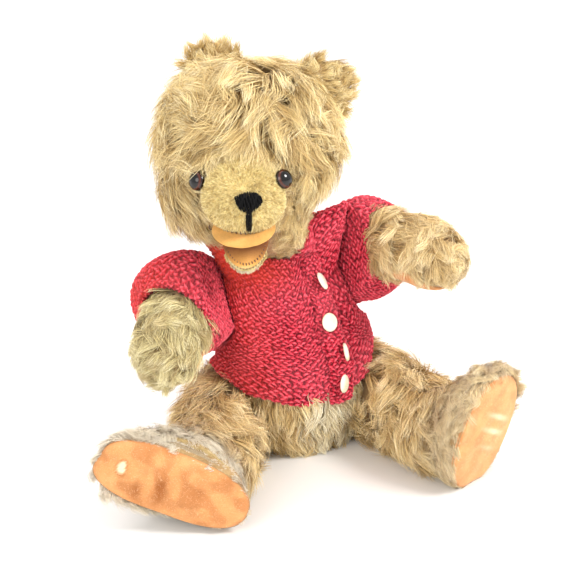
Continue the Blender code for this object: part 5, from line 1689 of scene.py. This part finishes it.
# front band, lapped over the right front
half_band = radians(9.5)
nb = int(19 / 57.3 * 46 / STEP)
ab = np.linspace(band - half_band, band + half_band, max(nb, 12))
BB = np.zeros((rws, len(ab), 3))
for j, a in enumerate(ab):
    e = abs(j / (len(ab) - 1) * 2 - 1)
    for i, z in enumerate(np.linspace(HEM_Z - 5.0, COLLAR_Z + 4.0, rws)):
        puck = -0.8 * np.exp(-min(abs(z - (bz)) for bz in BUTTON_Z) ** 2 / 30.0)
        rollb = -2.0 * np.clip((e - 0.7) / 0.3, 0, 1) ** 2
        BB[i, j] = body_point(z, a + 0.02 * sin(z * 0.13), 8.4 + puck + rollb + 0.5 * sin(z * 0.21))
bn = grid_normals(BB, wrap=False)
flip2 = ((BB - centre_t) * bn).sum(-1).mean() < 0
band_obs, bf, bn2 = knit_piece("button_band_knit", BB, 2.0, replaces=("button_band",), flip=flip2,
                               relief=1.4, cw=2.0, ch=1.85)
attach(band_obs[0], "torso")
fuzz("band_fuzz", bf, bn2, "torso", 2400, 202)

# sleeves: bells round the upper arm, their cuffs turned under
for _s in SIDES:
    spec = SLEEVE_LOOK[_s]
    n_rows = int(92 / STEP)
    rows = spline_rows(ARM_SECTIONS, 400, True, True)
    rows[:, 1:3] = np.maximum(rows[:, 1:3], 0.02)
    rows = rows[rows[:, 0] <= spec["reach"]]
    dist = np.concatenate([[0], np.cumsum(np.linalg.norm(np.diff(rows[:, :2], axis=0), axis=1))])
    want = np.linspace(0, dist[-1], n_rows)
    rows = np.column_stack([np.interp(want, dist, rows[:, k]) for k in range(4)])
    seg = int(172 / STEP)
    P, info = limb_rings("shoulder", _s, rows, seg)
    midp = P.mean(1, keepdims=True)
    a = rows[:, 0]
    f = np.maximum((a + 1) / spec["reach"], 0)
    th = 2 * pi * np.arange(seg) / seg
    f = np.clip(f, 0, 1)
    up = np.clip(f / 0.62, 0, 1)
    puff = up * up * (3 - 2 * up)
    shut = np.clip((f - 0.74) / 0.26, 0, 1) ** 2
    bulge = (spec["puff"] - 3.6) * puff * (1 - shut) + (spec["cuff"] - 3.6) * shut
    grow = 3.6 + bulge[:, None] + spec["top"] * np.cos(th)[None, :] * (puff * (1 - 0.6 * shut))[:, None]
    fn = smooth_noise_grid(P, 24.0, 31.0 if _s == "r" else 37.0, True)
    grow = grow + fn * 3.4 * (np.clip((a + 5) / 20, 0, 1) * (1 - 0.6 * shut))[:, None]
    grow = grow + spec["out"] * (np.sin(th)[None, :] * puff[:, None])
    if _s == "l":
        # a deep crease runs round the middle of this sleeve
        grow = grow - 4.0 * np.exp(-((a[:, None] - 15.0 - 5 * np.cos(th)[None, :]) / 4.0) ** 2) * \
            np.clip(0.5 + 0.6 * np.cos(th - 0.6), 0, 1)[None, :]
    grow = np.maximum(grow, 2.2)
    N = grid_normals(P)
    if ((P[n_rows // 2:] - midp[n_rows // 2:]) * N[n_rows // 2:]).sum(-1).mean() < 0:
        N = -N
    P = P + N * grow[..., None]
    point, n = JOINTS["shoulder_" + _s]
    # the cuff reaches further down on the body's side
    side_on = (-np.sin(th) if _s == "r" else np.sin(th))[None, :]
    P = P + np.array([q[1] for q in info])[:, None] * (spec["skew"] * (f ** 2)[:, None] * side_on)[..., None]
    P = press(P, point, -n, -0.9)
    warm = np.zeros(P.shape[:2])
    if _s == "r":
        warm = np.clip((-P[..., 0] - 70) / 40.0, 0, 1) * 0.5
    N2 = grid_normals(P)
    flip3 = ((P[n_rows // 2:] - midp[n_rows // 2:]) * N2[n_rows // 2:]).sum(-1).mean() < 0
    obs, sf, sn = knit_piece("sleeve_knit_" + WORD[_s], P, 3.0 + (_s == "l"), wrap=True,
                             replaces=("sleeve_" + WORD[_s],), flip=flip3, warm=warm, roll=(False, True), radius=2.1)
    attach(obs[0], "arm_" + WORD[_s])
    fuzz("sleeve_fuzz_" + WORD[_s], sf, sn, "arm_" + WORD[_s], 12000, 203 + (_s == "l"), wrap=True)

# buttons: domed ivory with a turned rim
for _i, _z in enumerate(BUTTON_Z):
    a = radians(BUTTON_ANGLE[_i])
    n = unit(wrap_point(10.0, _z, a) - wrap_point(0.0, _z, a))
    up_slope = unit(wrap_point(0.0, _z + 4, a) - wrap_point(0.0, _z - 4, a))
    across = unit(np.cross(n, up_slope))
    n = unit(np.cross(up_slope, across))
    if np.dot(n, (0, -1, 0)) < 0:
        n = -n
    seat = wrap_point(1.6 + KNIT + GAP + 2.6 + 0.5 + 2.2, _z, a)
    turn = radians((36.0, 5.0, 44.0, 28.0)[_i])
    n, across = n * cos(turn) + across * sin(turn) * (1 if across[0] > 0 else -1), \
        across * cos(turn) - n * sin(turn) * (1 if across[0] > 0 else -1)
    prof = [(0.0, 1.35), (1.5, 1.33), (3.0, 1.22), (4.1, 1.0), (5.0, 0.62), (5.5, 0.15), (5.75, -0.35), (5.6, -0.8),
            (5.0, -1.15), (3.0, -1.4), (0.0, -1.5)]
    tab = np.array([(z_, r_, 0, 0) for r_, z_ in prof], float)
    sm = spline_rows(tab, 40)
    seg = 64
    th = 2 * pi * np.arange(seg) / seg
    rr = np.maximum(sm[:, 1], 0.01)
    P = seat[None, None] + rr[:, None, None] * (np.cos(th)[None, :, None] * across + np.sin(th)[None, :, None] * up_slope) \
        + sm[:, 0][:, None, None] * n
    ob = put_mesh("button_ivory_%d" % (_i + 1), P.reshape(-1, 3), grid_faces(40, seg, wrap=True), MAT["button"])
    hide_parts("button_%d" % (_i + 1))
    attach(ob, "torso")

# ------------------------------------------------ the hidden CAD parts
for name, ob in NODES.items():
    if ob.hide_render:
        continue
    if "stuffing" in name:
        look = MAT["woodwool"]
    elif "disc" in name or "card" in name or "case" in name:
        look = MAT["card"]
    else:
        look = MAT["steel"]
    for sl in ob.material_slots:
        sl.material = look

# ------------------------------------------------ stage, light, camera
floor_m, nt, p = nodes_of("stage_white")
p.inputs["Base Color"].default_value = (0.86, 0.855, 0.85, 1)
p.inputs["Roughness"].default_value = 0.6
bpy.ops.mesh.primitive_plane_add(size=60.0, location=(0, 0, 0))
floor = bpy.context.object
floor.name = "floor"
# painted light: the far floor glows, so that it brightens into the studio's white
far_n = nt.nodes.new("ShaderNodeVectorMath")
far_n.operation = "LENGTH"
nt.links.new(nt.nodes.new("ShaderNodeNewGeometry").outputs["Position"], far_n.inputs[0])
nt.links.new(ramp(nt, maths(nt, "MULTIPLY", far_n.outputs["Value"], 0.2),
                  [(0.08, (0.0,) * 3), (0.35, (0.30,) * 3), (0.8, (0.42,) * 3)]), p.inputs["Emission Strength"])
p.inputs["Emission Color"].default_value = (1.0, 0.995, 0.985, 1)
floor.data.materials.append(floor_m)

world = bpy.data.worlds.new("studio")
world.use_nodes = True
bg = world.node_tree.nodes["Background"]
bg.inputs[0].default_value = (1.0, 0.985, 0.965, 1)
bg.inputs[1].default_value = 0.95
white = world.node_tree.nodes.new("ShaderNodeBackground")
white.inputs[0].default_value = (1.0, 0.995, 0.985, 1)
white.inputs[1].default_value = 1.25
path_n = world.node_tree.nodes.new("ShaderNodeLightPath")
both_n = world.node_tree.nodes.new("ShaderNodeMixShader")
world.node_tree.links.new(path_n.outputs["Is Camera Ray"], both_n.inputs[0])
world.node_tree.links.new(bg.outputs[0], both_n.inputs[1])
world.node_tree.links.new(white.outputs[0], both_n.inputs[2])
world.node_tree.links.new(both_n.outputs[0], world.node_tree.nodes["World Output"].inputs["Surface"])
bpy.context.scene.world = world


def area(name, at, target, size, power, colour):
    d = bpy.data.lights.new(name, "AREA")
    d.shape = "DISK"
    d.size = size
    d.energy = power
    d.color = colour
    o = bpy.data.objects.new(name, d)
    bpy.context.scene.collection.objects.link(o)
    o.location = at
    o.rotation_euler = (Vector(target) - Vector(at)).to_track_quat("-Z", "Y").to_euler()
    return o


area("key", (0.75, -0.75, 1.05), (0, -0.02, 0.12), 0.5, 16.0, (1.0, 0.98, 0.95))
area("fill", (-0.9, -0.7, 0.7), (0, 0, 0.12), 0.8, 6.0, (1.0, 0.95, 0.90))
area("top", (0.1, 0.5, 1.3), (0, 0, 0.1), 0.9, 8.0, (1.0, 1.0, 1.0))

AZ, EL, DIST, ROLL = radians(-20), radians(20), 0.75, radians(3)
r_ = np.array([cos(AZ), sin(AZ), 0.0])
fh = np.array([sin(AZ), -cos(AZ), 0.0])
bk = fh * cos(EL) + UP * sin(EL)
up_ = UP * cos(EL) - fh * sin(EL)
Xc = cos(ROLL) * r_ - sin(ROLL) * up_
Yc = sin(ROLL) * r_ + cos(ROLL) * up_
C = -0.01 * Xc + 0.098 * Yc + DIST * bk
cam_d = bpy.data.cameras.new("camera")
cam_d.sensor_width = 36.0
cam_d.lens = 1125.0 / 570.0 * 36.0
cam_d.clip_start = 0.02
cam = bpy.data.objects.new("camera", cam_d)
bpy.context.scene.collection.objects.link(cam)
m = Matrix.Identity(4)
for k in range(3):
    m[k][0], m[k][1], m[k][2], m[k][3] = Xc[k], Yc[k], bk[k], C[k]
cam.matrix_world = m
bpy.context.scene.camera = cam
bpy.context.scene.view_settings.view_transform = "Standard"

bpy.context.view_layer.update()
